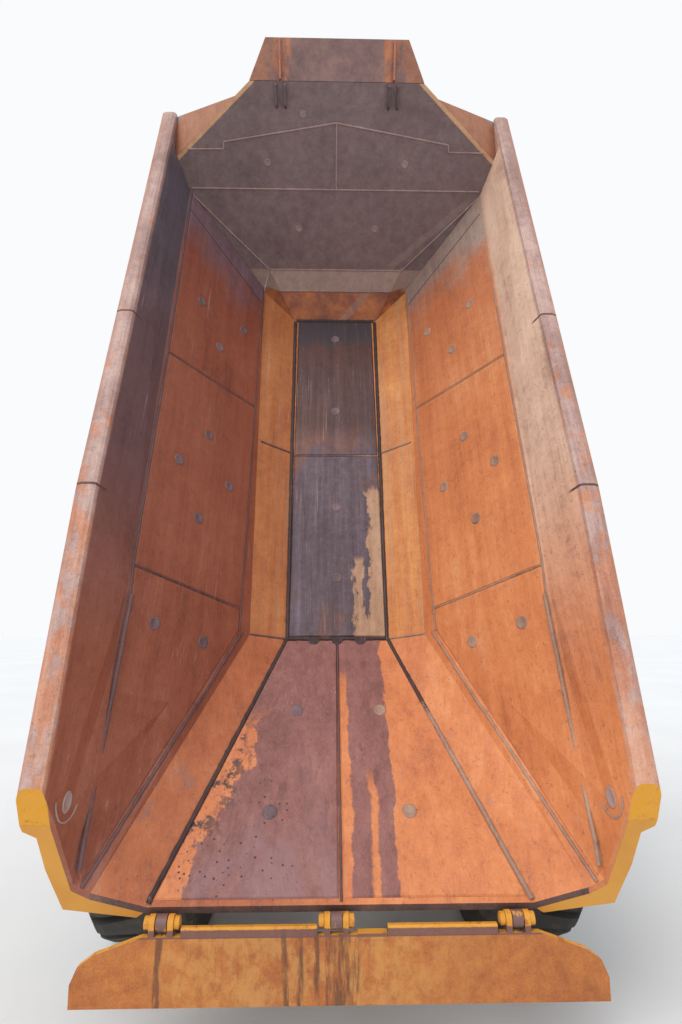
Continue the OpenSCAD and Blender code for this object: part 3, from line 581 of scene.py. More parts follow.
# %% Tail zones
def tail_plate_zones(finish, colour, value):
    """Both plates are stained by wet loads: the left one nearly whole, the right one in a band."""
    across, along = finish.axis("X"), finish.axis("Y")
    ragged = finish.noise(3.2, detail=9, rough=0.66, stretch=(1.2, 0.8, 1), seed=3)
    ragged = ragged - 0.5
    orange = finish.ramp(value, ORANGE)
    from_edge = across + (0.389 - along * 0.381)
    strip = from_edge + ragged * 0.55
    strip = finish.both(finish.step(strip, 0.15, 0.135), finish.step(along, -0.55, -0.75))
    colour = finish.blend(strip, colour, orange)
    dirt = finish.noise(7, detail=9, rough=0.75, seed=71)
    near = finish.both(
        finish.step(from_edge, 0.3, 0.05),
        finish.step(along, -0.55, -0.85),
        finish.step(along, -1.6, -1.3),
    )
    colour = finish.blend(finish.both(finish.step(dirt, 0.52, 0.57), near), colour, rgb(54, 42, 44))
    # Dark runs start at the plugs and at the seam, and a violet bloom lies between them
    drips = finish.noise(1.0, detail=6, rough=0.65, stretch=(15, 0.7, 15), seed=73)
    drips = finish.both(finish.step(drips, 0.54, 0.64), finish.step(along, -0.05, -0.5), 0.45)
    colour = finish.blend(drips, colour, rgb(100, 60, 52))
    bloom = finish.noise(1.5, detail=6, rough=0.6, stretch=(1, 0.5, 1), warp=0.4, seed=74)
    bloom = finish.both(finish.step(bloom, 0.5, 0.64), finish.step(along, -0.5, -1.2), 0.5)
    colour = finish.blend(bloom, colour, rgb(146, 112, 116))
    holes = finish.node("TexVoronoi", out="Distance", Vector=finish.place, Scale=26.0)
    eaten = finish.both(
        finish.step(holes, 0.2, 0.15),
        finish.step(across, -0.16, -0.26),
        finish.step(along, -0.8, -0.95),
    )
    eaten = finish.both(
        eaten, finish.step(from_edge, 0.02, 0.08), finish.step(finish.noise(3, seed=72), 0.47, 0.53)
    )
    colour = finish.blend(eaten, colour, rgb(48, 34, 34))
    shifted = across + ragged * 0.16
    inner = finish.both(finish.step(shifted, 0.075, 0.06), finish.step(along, -0.25, -0.4))
    runs = finish.both(thin_line(finish, shifted, 0.21, 0.03), finish.step(along, -0.95, -1.15))
    right = finish.either(finish.step(shifted, 0.325, 0.335), finish.either(inner, runs))
    return finish.blend(finish.both(right, finish.step(across, 0.0, 0.01)), colour, orange)


# %% [markdown]
# ## Painted outside
# The same solids are bare inside and painted outside, so the finish has to find the outside by
# itself. It compares the way each face looks with the way to the middle line of the load space. The
# rails on top are between the two: rubbed bare by rocks, with two welds, and yellow beyond.

# %% Outside and rails
RAIL_WELDS = (0.55, 2.05)
# The load space's middle line: its two ends along the body, its height and half its width
SPACE_END, SPACE_FRONT, SPACE_HEIGHT, SPACE_HALF = -1.2, 3.3, 0.9, 0.45


def painted_outside(finish, colour, value):
    """Yellow paint on faces that look away from the load space's middle line, but not upwards."""
    skin = finish.node("TexCoord", out="Normal")
    along, height = finish.axis("Y"), finish.axis("Z")
    past_front = along - finish.calc("MINIMUM", along, SPACE_FRONT)
    below = finish.calc("MAXIMUM", SPACE_HEIGHT - height, 0.4)
    across = finish.calc("MINIMUM", finish.axis("X"), SPACE_HALF)
    across = finish.calc("MAXIMUM", across, -SPACE_HALF)
    outward = across * finish.node("SeparateXYZ", out="X", Vector=skin)
    outward = outward + past_front * finish.facing(FRONT_WAY) + below * finish.facing(UNDER_WAY)
    outward = outward + finish.sway(0.4, 6, detail=8, rough=0.75, seed=13)
    return finish.blend(finish.step(outward, 0.22, 0.26), colour, finish.ramp(value, YELLOW))


def rail_zones(finish, colour, value):
    """The rails are rubbed pinkish brown, with two butt welds, and keep yellow paint outside."""
    colour = side_zones(finish, colour, value)
    across = abs(finish.axis("X"))
    along = finish.axis("Y")
    mottled = finish.noise(6.5, detail=9, rough=0.7, stretch=(1.6, 0.6, 1.6), seed=81)
    mottled = mottled + along * 0.05
    rubbed = finish.blend(
        finish.step(mottled, 0.44, 0.56),
        finish.ramp(value, RAIL_RUST),
        finish.ramp(value, RAIL_GREY),
    )
    # Painted shade: a darker orange-brown over the rust of the rounded outer shoulder, which turns from the
    # light
    outer = finish.step(across + mottled * 0.12, 1.66, 1.72)
    rubbed = finish.blend(finish.both(outer, 0.55), rubbed, rgb(168, 106, 78))
    colour = finish.blend(finish.step(across, 1.5, 1.51), colour, rubbed)
    for place in RAIL_WELDS:
        weld = finish.both(thin_line(finish, along, place, 0.012), finish.step(across, 1.47, 1.49))
        colour = finish.blend(weld, colour, rgb(92, 60, 52))
        finish.bump(weld, 0.006, 0.7)
    colour = painted_outside(finish, colour, value)
    at_end = finish.both(
        finish.step(finish.facing(END_WAY), 0.8, 0.9), finish.step(across, 1.49, 1.5)
    )
    return finish.blend(at_end, colour, rgb(226, 158, 36))


# %% [markdown]
# ## The front wall
# The front wall is the calmest plate, because the load slides away from it. Its lower chamfer is
# still hit and rusts orange, and the gussets at its slanted corners keep their paint outside.


# %% Front zones
def front_zones(finish, colour, value):
    """Orange rust on the lower chamfer of the front wall, and dark rust in its shaded corners."""
    height, along = finish.axis("Z"), finish.axis("Y")
    chamfer = finish.both(finish.step(height, 0.205, 0.2), finish.step(along, 3.72, 3.68))
    band = finish.both(finish.step(height, 0.36, 0.35), finish.step(along, 3.81, 3.79))
    colour = finish.blend(band, colour, finish.ramp(value, PALE_GREY))
    patchy = value + finish.sway(0.8, 5, seed=2)
    colour = finish.blend(chamfer, colour, finish.ramp(patchy, CHAMFER_RUST))
    # Dust lies along the slanted seam on the right, and dark violet stains lie at random
    slant = finish.axis("X") - height * 1.28
    dust = finish.both(thin_line(finish, slant, 0.07, 0.07), finish.step(height, 1.0, 0.9), 0.45)
    colour = finish.blend(dust, colour, finish.ramp(value, PALE_GREY))
    stain = finish.noise(1.7, detail=6, rough=0.6, warp=0.4, seed=17)
    colour = finish.blend(
        finish.both(finish.step(stain, 0.52, 0.68), 0.35), colour, rgb(84, 62, 62)
    )
    # The gussets stand behind the wall's slanted upper edge, whose own rim is rubbed bright. Each
    # has a pale line of dust along it, orange rust on its inner side and brown on its outer one.
    side = abs(finish.axis("X"))
    rim = side * 0.603 + height * 0.797
    behind = along - height * 0.45
    gusset = finish.both(
        finish.step(height, 1.22, 1.24),
        finish.step(behind, 3.638, 3.643),
        finish.step(side, 0.8, 0.85),
    )
    colour = finish.blend(gusset, colour, finish.ramp(value, OCHRE_RUST))
    wander = finish.sway(0.05, 9, detail=5, seed=5)
    shifted = rim + wander
    colour = finish.blend(
        finish.both(gusset, finish.step(shifted, 1.99, 2.01)), colour, rgb(124, 92, 78)
    )
    colour = finish.blend(
        finish.both(gusset, thin_line(finish, rim, 1.99, 0.016)), colour, rgb(156, 130, 128)
    )
    rusty = finish.both(gusset, finish.step(finish.facing(UNDER_WAY), 0.2, 0.0))
    colour = finish.blend(rusty, painted_outside(finish, colour, value), colour)
    bright = finish.both(
        finish.step(rim, 1.862, 1.872), finish.step(side, 0.7, 0.74), finish.step(gusset, 0.5, 0.4)
    )
    return finish.blend(bright, colour, finish.ramp(value, RIM_CREAM))


# %% [markdown]
# ## Bare steel for each part
# Every part of the body gets its own mixture of tones, zones and noise. Three finishes carry the
# names of the record's material slots, and the other three are for the liner plates.

# %% Steel finishes
worn_side = finish_worn("worn_side", ORANGE, zones=rail_zones)
side_liner = finish_worn("side_liner", ORANGE, zones=liner_zones, seed=11.0)
worn_front = finish_worn(
    "worn_front", GREY_BROWN, streak=0.3, calm=0.25, scars=0.5, zones=front_zones
)
worn_floor = finish_worn("worn_floor", ORANGE, zones=floor_zones)
floor_plate = finish_worn("floor_plate", PURPLE, rough=0.62, calm=0.4, zones=floor_plate_zones)
tail_plate = finish_worn(
    "tail_plate", RED_BROWN, rough=0.62, calm=0.4, zones=tail_plate_zones, seed=2.0
)


# %% [markdown]
# ## Steel of the seams
# Seams and plug welds are finished like the plates, in darker and paler tones: they stay violet in
# the painted shade of the left side, and are painted pale on the right side, where the light falls.


# %% Seam finishes
def seam_zones(finish, colour, value):
    """Painted light and shade: seams are pale on the lit right side, violet on the shaded left."""
    right = finish.step(finish.axis("X"), 0.05, 0.3)
    return finish.blend(right, colour, finish.ramp(value, SEAM_PALE))


def gap_zones(finish, colour, value):
    """The wide gap down the tail's right side is pale, apart from its dark upper end."""
    along = finish.axis("Y") + (value - 0.5) * 0.8
    filled = finish.both(finish.step(finish.axis("X"), 0.4, 0.5), finish.step(along, -0.45, -0.6))
    return finish.blend(filled, colour, finish.ramp(value, SEAM_PALE))


SEAM_PALE = shades((0.2, 112, 82, 68), (0.5, 160, 126, 108), (0.8, 192, 160, 140))
dark_seam = finish_worn(
    "dark_seam", shades((0.3, 40, 30, 32), (0.7, 80, 56, 54)), rough=0.8, zones=gap_zones
)
rust_seam = finish_worn(
    "rust_seam", shades((0.3, 74, 52, 54), (0.7, 118, 86, 88)), zones=seam_zones
)
pale_weld = finish_worn("pale_weld", shades((0.3, 140, 114, 110), (0.7, 176, 150, 144)))
front_plug = finish_worn("front_plug", shades((0.3, 118, 98, 98), (0.7, 156, 136, 130)))
plug_steel = finish_worn(
    "plug_steel", shades((0.3, 82, 66, 72), (0.7, 132, 108, 112)), zones=seam_zones
)

# %% [markdown]
# ## Paint, rubber and the rest
# Outside, the truck keeps its yellow paint, dulled by dust and chipped at random. The frames are
# dark grey under dried mud, the rods are bright, and the tyres are grey with patches of dust.


# %% Paint and rubber
def finish_paint(name, tones, rough=0.45, chips=0.66, dust=0.35, on_body=False, zones=None):
    """Painted steel with faded patches, dust and a few rusty chips."""
    finish = Finish(name, on_body=on_body)
    faded = finish.noise(1.6, detail=5, rough=0.6, warp=0.3)
    colour = finish.ramp(faded, tones)
    speckle = finish.noise(38, detail=7, rough=0.72, warp=0.3, seed=4)
    patch = finish.noise(2.4, detail=4, rough=0.6, seed=9)
    worn_off = finish.step(speckle + patch * 0.45, chips + 0.22, chips + 0.26)
    colour = finish.blend(worn_off, colour, rgb(120, 70, 44))
    dusty = finish.both(finish.noise(5, detail=6, rough=0.7, seed=2), dust)
    colour = finish.blend(dusty, colour, rgb(150, 134, 112))
    if zones:
        colour = zones(finish, colour)
    finish.bump(worn_off, -0.0012, 0.5)
    finish.bump(finish.noise(160, detail=2), 0.0004, 0.3)
    roughness = finish.calc("ADD", dusty * 0.5, rough, clamp=True)
    return finish.done(colour, roughness)


def finish_rubber(name):
    finish = Finish(name)
    mud = finish.noise(3.2, detail=7, rough=0.68)
    colour = finish.ramp(mud, shades((0.3, 42, 41, 40), (0.55, 62, 59, 55), (0.75, 104, 94, 82)))
    finish.bump(finish.noise(90, detail=4), 0.0015, 0.4)
    return finish.done(colour, mud * 0.3 + 0.6)


def finish_plain(name, dark, light, rough, metallic=0.0, scale=12, depth=0.0004):
    """A moulded or machined surface: two close tones, fine grain and a roughness that varies."""
    finish = Finish(name)
    tone = finish.noise(scale, detail=5, rough=0.6)
    colour = finish.ramp(tone, [(0.3, dark), (0.7, light)])
    finish.bump(finish.noise(scale * 14, detail=3), depth, 0.5)
    return finish.done(colour, tone * 0.2 + (rough - 0.1), metallic)


def finish_glass(name, tint, rough=0.03, alpha=0.35):
    finish = Finish(name)
    smear = finish.noise(3, detail=5)
    finish.shader.inputs["Alpha"].default_value = alpha
    finish.shader.inputs["IOR"].default_value = 1.5
    return finish.done(finish.ramp(smear, [(0.3, tint), (0.7, rgb(120, 128, 128))]), rough)


# %% [markdown]
# ## The tailgate and the guard
# Rain runs down from the three hinges and leaves dark lines on the tailgate. The spill guard above
# the front wall has lost nearly all its paint. Both are zones over a common finish.

# %% Tailgate and guard zones
GATE_PIN = Vector(JOINTS["gate_swing"]["pos_m"])
GATE_ALONG = along_bed(GATE_PIN)
# Middle and half width of the dark runs of water down the tailgate
GATE_RUNS = [
    (-0.955, 0.022),
    (-0.3, 0.02),
    (-0.22, 0.026),
    (-0.13, 0.018),
    (-0.07, 0.022),
    (0.0, 0.07),
    (0.075, 0.03),
]


def gate_zones(finish, colour, value):
    """Dark runs of rusty water below the hinges, and clean yellow above a brown band on top."""
    across, depth = finish.axis("X"), GATE_PIN.z - finish.axis("Z")
    wander = finish.noise(4, detail=4, stretch=(1, 1, 0.4), seed=3)
    golden = finish.noise(7, detail=8, rough=0.75, stretch=(1.3, 1, 0.8), seed=9)
    left_part = finish.both(finish.step(across, -1.05, -0.85), finish.step(across, 0.9, 0.2))
    golden = finish.both(finish.step(golden, 0.44, 0.6), left_part, 0.6)
    colour = finish.blend(golden, colour, rgb(202, 146, 78))
    across = across + (wander - 0.5) * 0.09
    drip = finish.noise(1.0, detail=6, rough=0.7, stretch=(30, 1, 3.4), seed=6)
    for middle, half in GATE_RUNS:
        run = finish.both(
            thin_line(finish, across, middle, half), finish.step(drip, 0.38, 0.54), 0.85
        )
        colour = finish.blend(run, colour, rgb(100, 60, 40))
    streaky = finish.both(finish.step(drip, 0.58, 0.66), 0.35)
    colour = finish.blend(streaky, colour, rgb(150, 92, 48))
    skin = finish.node("TexCoord", out="Normal")
    chip = finish.step(finish.noise(16, detail=7, rough=0.75, seed=8), 0.6, 0.55)
    band = finish.both(finish.step(depth, 0.018, 0.024), finish.step(depth, 0.064, 0.058))
    colour = finish.blend(finish.both(band, 0.9), colour, rgb(112, 78, 74))
    upward = finish.step(finish.node("SeparateXYZ", out="Z", Vector=skin), 0.35, 0.5)
    hinges = finish.step(depth + drip * 0.02, 0.032, 0.026)
    painted = finish.both(finish.either(upward, hinges), chip)
    return finish.blend(painted, colour, finish.ramp(value, YELLOW))


def guard_zones(finish, colour):
    """The spill guard has lost its paint: violet rust, orange at its ends and beside its ribs."""
    rusty, value = rust(finish, RUST_VIOLET, cloud=2.2, streak=0.4, calm=0.5)
    across, along = abs(finish.axis("X")), finish.axis("Y")
    ragged = finish.noise(5, detail=8, rough=0.74, stretch=(1.6, 1, 0.6), seed=14)
    ragged = (ragged - 0.5) * 0.9
    ends = finish.step(across + ragged, 0.48, 0.62)
    rusty = finish.blend(finish.both(ends, 0.85), rusty, finish.ramp(value, OCHRE_RUST))
    beside_rib = finish.both(thin_line(finish, across, 0.47, 0.09), finish.step(ragged, -0.1, 0.08))
    rusty = finish.blend(finish.both(beside_rib, 0.8), rusty, finish.ramp(value, ORANGE))
    rim = finish.step(finish.axis("Z") + ragged * 0.08, 2.085, 2.1)
    rusty = finish.blend(finish.both(rim, 0.5), rusty, rgb(64, 44, 52))
    eyes = finish.step(abs(along - GATE_ALONG), 0.16, 0.12)
    eyes = finish.both(eyes, finish.step(finish.noise(14, detail=6, rough=0.7, seed=6), 0.62, 0.56))
    colour = finish.blend(eyes, colour, rgb(118, 86, 82))
    brackets = finish.step(finish.axis("Z"), 1.795, 1.79)
    rusty = finish.blend(brackets, rusty, finish.ramp(value, PURPLE))
    return finish.blend(finish.step(along, 4.2, 4.25), colour, rusty)


# %% [markdown]
# ## One finish for each slot
# The paints differ in their tones and in how much dust and how many chips they have. A higher
# value for the chips leaves fewer of them, because the noise has to reach above it.

# %% Slot finishes
CAB_YELLOW = shades((0.25, 206, 142, 24), (0.55, 228, 164, 34), (0.8, 234, 178, 60))
FRAME_GREY = shades((0.25, 48, 48, 50), (0.55, 66, 65, 65), (0.8, 92, 88, 82))
body_yellow = finish_paint("body_yellow", YELLOW, on_body=True, chips=0.6, zones=guard_zones)
flange_yellow = finish_paint("flange_yellow", YELLOW, on_body=True, dust=0.15, chips=0.7)
cab_yellow = finish_paint("cab_yellow", CAB_YELLOW, rough=0.32, chips=0.74, dust=0.25)
rim_yellow = finish_paint("rim_yellow", CAB_YELLOW, rough=0.5, chips=0.6, dust=0.7)
chassis_grey = finish_paint("chassis_grey", FRAME_GREY, rough=0.5, chips=0.6, dust=0.6)
machine_dark = finish_paint("machine_dark", FRAME_GREY, rough=0.6, chips=0.56, dust=0.85)
tyre_rubber = finish_rubber("tyre_rubber")
rod_chrome = finish_plain("rod_chrome", rgb(196, 198, 202), rgb(216, 218, 220), 0.22, metallic=1.0)
lamp_red = finish_plain("lamp_red", rgb(120, 14, 12), rgb(150, 22, 16), 0.25)
grille_black = finish_plain("grille_black", rgb(24, 24, 25), rgb(38, 37, 36), 0.5)
rail_black = finish_plain("rail_black", rgb(30, 30, 31), rgb(54, 52, 50), 0.55)
cab_plastic = finish_plain("cab_plastic", rgb(38, 38, 40), rgb(52, 52, 54), 0.6)
seat_cloth = finish_plain(
    "seat_cloth", rgb(34, 35, 38), rgb(56, 57, 60), 0.95, scale=60, depth=0.002
)
exhaust_steel = finish_plain(
    "exhaust_steel", rgb(96, 90, 84), rgb(132, 122, 110), 0.45, metallic=0.8
)
window = finish_glass("window", rgb(70, 84, 86))
nut_steel = finish_plain(
    "nut_steel", rgb(70, 64, 58), rgb(128, 108, 84), 0.5, metallic=0.6, scale=30
)
window_rubber = finish_plain("window_rubber", rgb(18, 18, 19), rgb(34, 33, 32), 0.7)
mirror_glass = finish_plain(
    "mirror_glass", rgb(190, 196, 200), rgb(206, 210, 212), 0.12, metallic=1.0
)
lamp_clear = finish_glass("lamp_clear", rgb(200, 206, 210), rough=0.08, alpha=0.75)
gate_worn = finish_worn(
    "gate_worn", OCHRE, on_body=False, zones=gate_zones, streak=0.35, calm=0.5, scars=0.6
)

# %% [markdown]
# ## Giving the solids their finishes
# The record names a material slot for each node, so the finishes carry the same names and one loop
# hands them out. The material goes in the node's own slots, because its mesh must stay as it is.

# %% Dress the nodes
SLOT_OF = {part["node"]: part["material_slot"] for part in frame["record"]["subparts"]}
for name, node in NODES.items():
    finish = bpy.data.materials[SLOT_OF[name]]
    node.data.materials.clear()
    node.data.materials.append(finish)
print("dressed", len(SLOT_OF), "nodes")

# %% [markdown]
# ## Resting on the body
# Liner plates and welds follow walls that are slightly twisted, so their places are not computed
# from flat drawings. A search tree over the body's own solids finds the nearest point of the wall,
# and its normal says which way is inwards. Only faces that look at the middle of the load space
# count.

# %% Nearest wall
body_points, body_faces = [], []
for name in ("bed_floor", "bed_sides", "bed_front"):
    mesh = NODES[name].data
    first = len(body_points)
    body_points += [vertex.co.copy() for vertex in mesh.vertices]
    for face in mesh.polygons:
        along = min(max(along_bed(face.center), SPACE_END), SPACE_FRONT)
        middle = in_bed(0, along, SPACE_HEIGHT)
        if face.normal.dot(middle - face.center) > 0:
            body_faces.append([first + i for i in face.vertices])
body_tree = BVHTree.FromPolygons(body_points, body_faces)


def on_wall(x, s, h, lift=0.0):
    """The point of the body's inside nearest to a place, lifted off it, and the normal there."""
    place, normal, _, _ = body_tree.find_nearest(in_bed(x, s, h))
    return place + normal * lift, normal


def face_outwards(piece):
    """Turns the faces of a closed piece outwards."""
    shape = bmesh.new()
    shape.from_mesh(piece.data)
    bmesh.ops.recalc_face_normals(shape, faces=shape.faces)
    shape.to_mesh(piece.data)
    shape.free()


def make_piece(name, points, faces, material, body, smooth=False):
    mesh = bpy.data.meshes.new(name)
    mesh.from_pydata([tuple(p) for p in points], [], faces)
    mesh.materials.append(material)
    if smooth:
        mesh.shade_smooth()
    mesh.update()
    piece = bpy.data.objects.new(name, mesh)
    scene.collection.objects.link(piece)
    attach(piece, body)
    print("piece:", name, len(faces), "faces")
    return piece


# %% [markdown]
# ## Liner plates
# Rock would wear through the walls, so the body is lined with plates of hard steel 10 mm thick,
# welded on with open seams between them. A plate could be a flat box, but the walls are twisted.
# Here each is a small grid between two edges, laid on the wall point by point, with its rim bent
# down to it.

# %% Plate maker
PLATE_LIFT = 0.010
PLATE_SEAT = 0.0005
PLATE_BEVEL = 0.008
SEAM_GAP = 0.006


def stations(length, count, kinks=()):
    """Places along one side of a plate: its rim, the start of its bevel and even steps between."""
    inner = [SEAM_GAP, SEAM_GAP + PLATE_BEVEL]
    steps = [length * i / count for i in range(1, count)]
    places = inner + [p for p in steps + list(kinks) if inner[1] < p < length - inner[1]]
    return sorted(set(places + [length - p for p in inner]))


def plate(edges, across_count=6, along_count=10):
    """One plate from rows of (left, right) points in the body, in order along it."""
    rows = [(Vector(left), Vector(right)) for left, right in edges]
    middles = [(left + right) / 2 for left, right in rows]
    marks = [0.0]
    for before, after in zip(middles, middles[1:]):
        marks.append(marks[-1] + (after - before).length)
    width = sum((right - left).length for left, right in rows) / len(rows)
    vs, us = stations(marks[-1], along_count, marks[1:-1]), stations(width, across_count)
    points = []
    for lifted in (True, False):
        for j, v in enumerate(vs):
            k = max(i for i in range(len(marks) - 1) if marks[i] <= v)
            t = (v - marks[k]) / (marks[k + 1] - marks[k])
            left, right = (rows[k][i].lerp(rows[k + 1][i], t) for i in (0, 1))
            for i, u in enumerate(us):
                rim = i in (0, len(us) - 1) or j in (0, len(vs) - 1)
                lift = (0.002 if rim else PLATE_LIFT) if lifted else PLATE_SEAT
                points.append(on_wall(*left.lerp(right, u / width), lift)[0])
    n, m = len(us), len(vs)
    faces = []
    for j in range(m - 1):
        for i in range(n - 1):
            a = j * n + i
            faces.append((a, a + 1, a + n + 1, a + n))
            faces.append(tuple(n * m + k for k in (a, a + n, a + n + 1, a + 1)))
    rim = list(range(n)) + [j * n + n - 1 for j in range(1, m)]
    rim += [(m - 1) * n + i for i in range(n - 2, -1, -1)] + [j * n for j in range(m - 2, 0, -1)]
    for a, b in zip(rim, rim[1:] + rim[:1]):
        faces.append((b, a, n * m + a, n * m + b))
    return points, faces


def plates(name, all_edges, material, body="bed"):
    """Several plates as one piece, with their faces turned outwards."""
    points, faces = [], []
    for edges in all_edges:
        plate_points, plate_faces = plate(edges)
        faces += [tuple(len(points) + i for i in face) for face in plate_faces]
        points += plate_points
    piece = make_piece(name, points, faces, material, body, smooth=True)
    face_outwards(piece)
    piece.data.set_sharp_from_angle(angle=math.radians(32))
    return piece


# %% [markdown]
# ## Where the plates lie
# The seams were read off the picture through the camera, and they turned out the same on both
# sides. Each row is a place along the body with the corner line of the facet and the liner's top
# edge.

# %% Plate places
FACET_EDGE = {
    "front": (0.745, 3.706, 0.18),
    "seam_1": (0.741, 2.117, 0.195),
    "bend": (0.737, 0.53, 0.21),
    "seam_2": (0.736, 0.165, 0.214),
    "joint": (0.735, 0.0, 0.215),
    "end": (1.392, -1.6, 0.843),
}
LINER_TOP = {
    "front": (1.375, 4.055, 0.985),
    "seam_1": (1.345, 2.03, 0.994),
    "bend": (1.335, 0.53, 1.012),
    "seam_2": (1.332, 0.17, 1.018),
    "joint": (1.334, -0.03, 1.0),
    "end": (1.404, -1.54, 0.875),
}
SIDE_PLATES = [("front", "seam_1"), ("seam_1", "bend", "seam_2"), ("seam_2", "joint", "end")]
FLOOR_SEAM = 1.72
FLOOR_HALF_WIDTH = 0.385
FLOOR_FRONT = 3.41
TAIL_TOP, TAIL_END = (0.385, -0.012, 0.006), (1.026, -1.69, 0.752)


def mirrored(point, side):
    return (point[0] * side, point[1], point[2])


side_rows = [
    [(mirrored(FACET_EDGE[k], side), mirrored(LINER_TOP[k], side)) for k in row]
    for side in (-1, 1) for row in SIDE_PLATES
]
plates("side_liners", side_rows, side_liner)
floor_rows = [
    [((-FLOOR_HALF_WIDTH, s, 0), (FLOOR_HALF_WIDTH, s, 0)) for s in ends]
    for ends in ((0.012, FLOOR_SEAM), (FLOOR_SEAM, FLOOR_FRONT))
]
plates("floor_liners", floor_rows, floor_plate)
tail_rows = [
    [((side * 0.004, end[1], end[2]), mirrored(end, side)) for end in (TAIL_TOP, TAIL_END)]
    for side in (-1, 1)
]
plates("tail_liners", tail_rows, tail_plate)

# %% [markdown]
# ## Trees that make what repeats
# Weld beads, plug welds and bolts repeat by the dozen. A Geometry Nodes tree makes them from a few
# lines or points, with its sizes as named inputs. This class builds such a tree, runs it once on
# a guide mesh and keeps the result as a plain mesh, because the exported model knows no modifiers.


# %% Tree helper
class Tree(Nodes):
    """A Geometry Nodes tree with named size inputs."""

    def __init__(self, name, material, **sizes):
        self.tree = bpy.data.node_groups.new(name, "GeometryNodeTree")
        self.material = material
        self.sizes = sizes
        interface = self.tree.interface
        interface.new_socket("Guide", in_out="INPUT", socket_type="NodeSocketGeometry")
        for size in sizes:
            interface.new_socket(size, in_out="INPUT", socket_type="NodeSocketFloat")
        interface.new_socket("Result", in_out="OUTPUT", socket_type="NodeSocketGeometry")
        self.start = self.tree.nodes.new("NodeGroupInput")
        self.end = self.tree.nodes.new("NodeGroupOutput")

    def size(self, name):
        return Value(self, self.start.outputs[name])

    def close(self, result):
        """Ends the tree: real geometry, smooth, in its material."""
        result = self.node("GeometryNodeRealizeInstances", Geometry=result)
        result = self.node("GeometryNodeSetShadeSmooth", Geometry=result)
        result = self.node("GeometryNodeSetMaterial", Geometry=result, Material=self.material)
        self.fill(self.end.inputs[0], result)

    def run(self, name, guide, body, **sizes):
        """Runs the tree on a guide mesh and rides the result on a body."""
        holder = bpy.data.objects.new(name + "_guide", guide)
        scene.collection.objects.link(holder)
        modifier = holder.modifiers.new("tree", "NODES")
        modifier.node_group = self.tree
        for socket in self.tree.interface.items_tree:
            if socket.in_out == "INPUT" and socket.name in self.sizes:
                modifier[socket.identifier] = sizes.get(socket.name, self.sizes[socket.name])
        graph = bpy.context.evaluated_depsgraph_get()
        mesh = bpy.data.meshes.new_from_object(holder.evaluated_get(graph))
        bpy.data.objects.remove(holder)
        mesh.name = name
        piece = bpy.data.objects.new(name, mesh)
        scene.collection.objects.link(piece)
        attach(piece, body)
        print("tree", self.tree.name, "->", name, len(mesh.polygons), "faces")
        return piece


# %% [markdown]
# ## Weld beads
# The seams between the liner plates are filled with weld. A bead is a round string with small
# ripples, so the tree turns each guide line into a curve, gives it a round profile whose size
# wavers a little, and pushes its skin in and out with noise.

# %% Weld tree
GUIDE_STEP = 0.12
BEAD_SIDES = 6


def bead_tree(name, material):
    tree = Tree(name, material, radius=0.007, waver=0.25, step=0.03)
    curve = tree.node("GeometryNodeMeshToCurve", Mesh=tree.size("Guide"))
    curve = tree.node(
        "GeometryNodeResampleCurve",
        settings={"mode": "LENGTH"},
        Curve=curve,
        Length=tree.size("step"),
    )
    radius = tree.size("radius")
    round_profile = tree.node(
        "GeometryNodeCurvePrimitiveCircle", Resolution=BEAD_SIDES, Radius=radius
    )
    string = tree.node("GeometryNodeCurveToMesh", Curve=curve, Profile_Curve=round_profile)
    ripple = tree.node("ShaderNodeTexNoise", Scale=28.0, Detail=2.0)
    push = (ripple - 0.5) * radius * tree.size("waver") * 4.0
    normal = tree.node("GeometryNodeInputNormal")
    settings = {"operation": "SCALE"}
    offset = tree.node("ShaderNodeVectorMath", settings=settings, Vector=normal, Scale=push)
    tree.close(tree.node("GeometryNodeSetPosition", Geometry=string, Offset=offset))
    return tree


def guide_lines(lines, lift=0.002):
    """A mesh of edges laid on the body's wall from lines of points in the body."""
    points, edges = [], []
    for line in lines:
        places = [Vector(p) for p in line]
        first = len(points)
        for start, end in zip(places, places[1:]):
            count = max(2, round((end - start).length / GUIDE_STEP))
            points += [on_wall(*start.lerp(end, i / count), lift)[0] for i in range(count)]
        points.append(on_wall(*places[-1], lift)[0])
        edges += [(i, i + 1) for i in range(first, len(points) - 1)]
    guide = bpy.data.meshes.new("guide_lines")
    guide.from_pydata([tuple(p) for p in points], edges, [])
    return guide


dark_bead = bead_tree("dark_bead", dark_seam)
rust_bead = bead_tree("rust_bead", rust_seam)
pale_bead = bead_tree("pale_bead", pale_weld)

# %% [markdown]
# ## Seams of the liners
# The seams differ by what fills them. Dirt has gathered in the wide gaps beside the floor plates
# and down the tail, thin rusty beads frame the liner plates, and paler beads join the
# plates of the front wall in a shallow roof shape above a long level seam.

# %% Seam places
FACET_SEAM = 1.77
ROOF_TOP, ROOF_FOOT, LEVEL_SEAM = 1.523, 1.377, 1.026
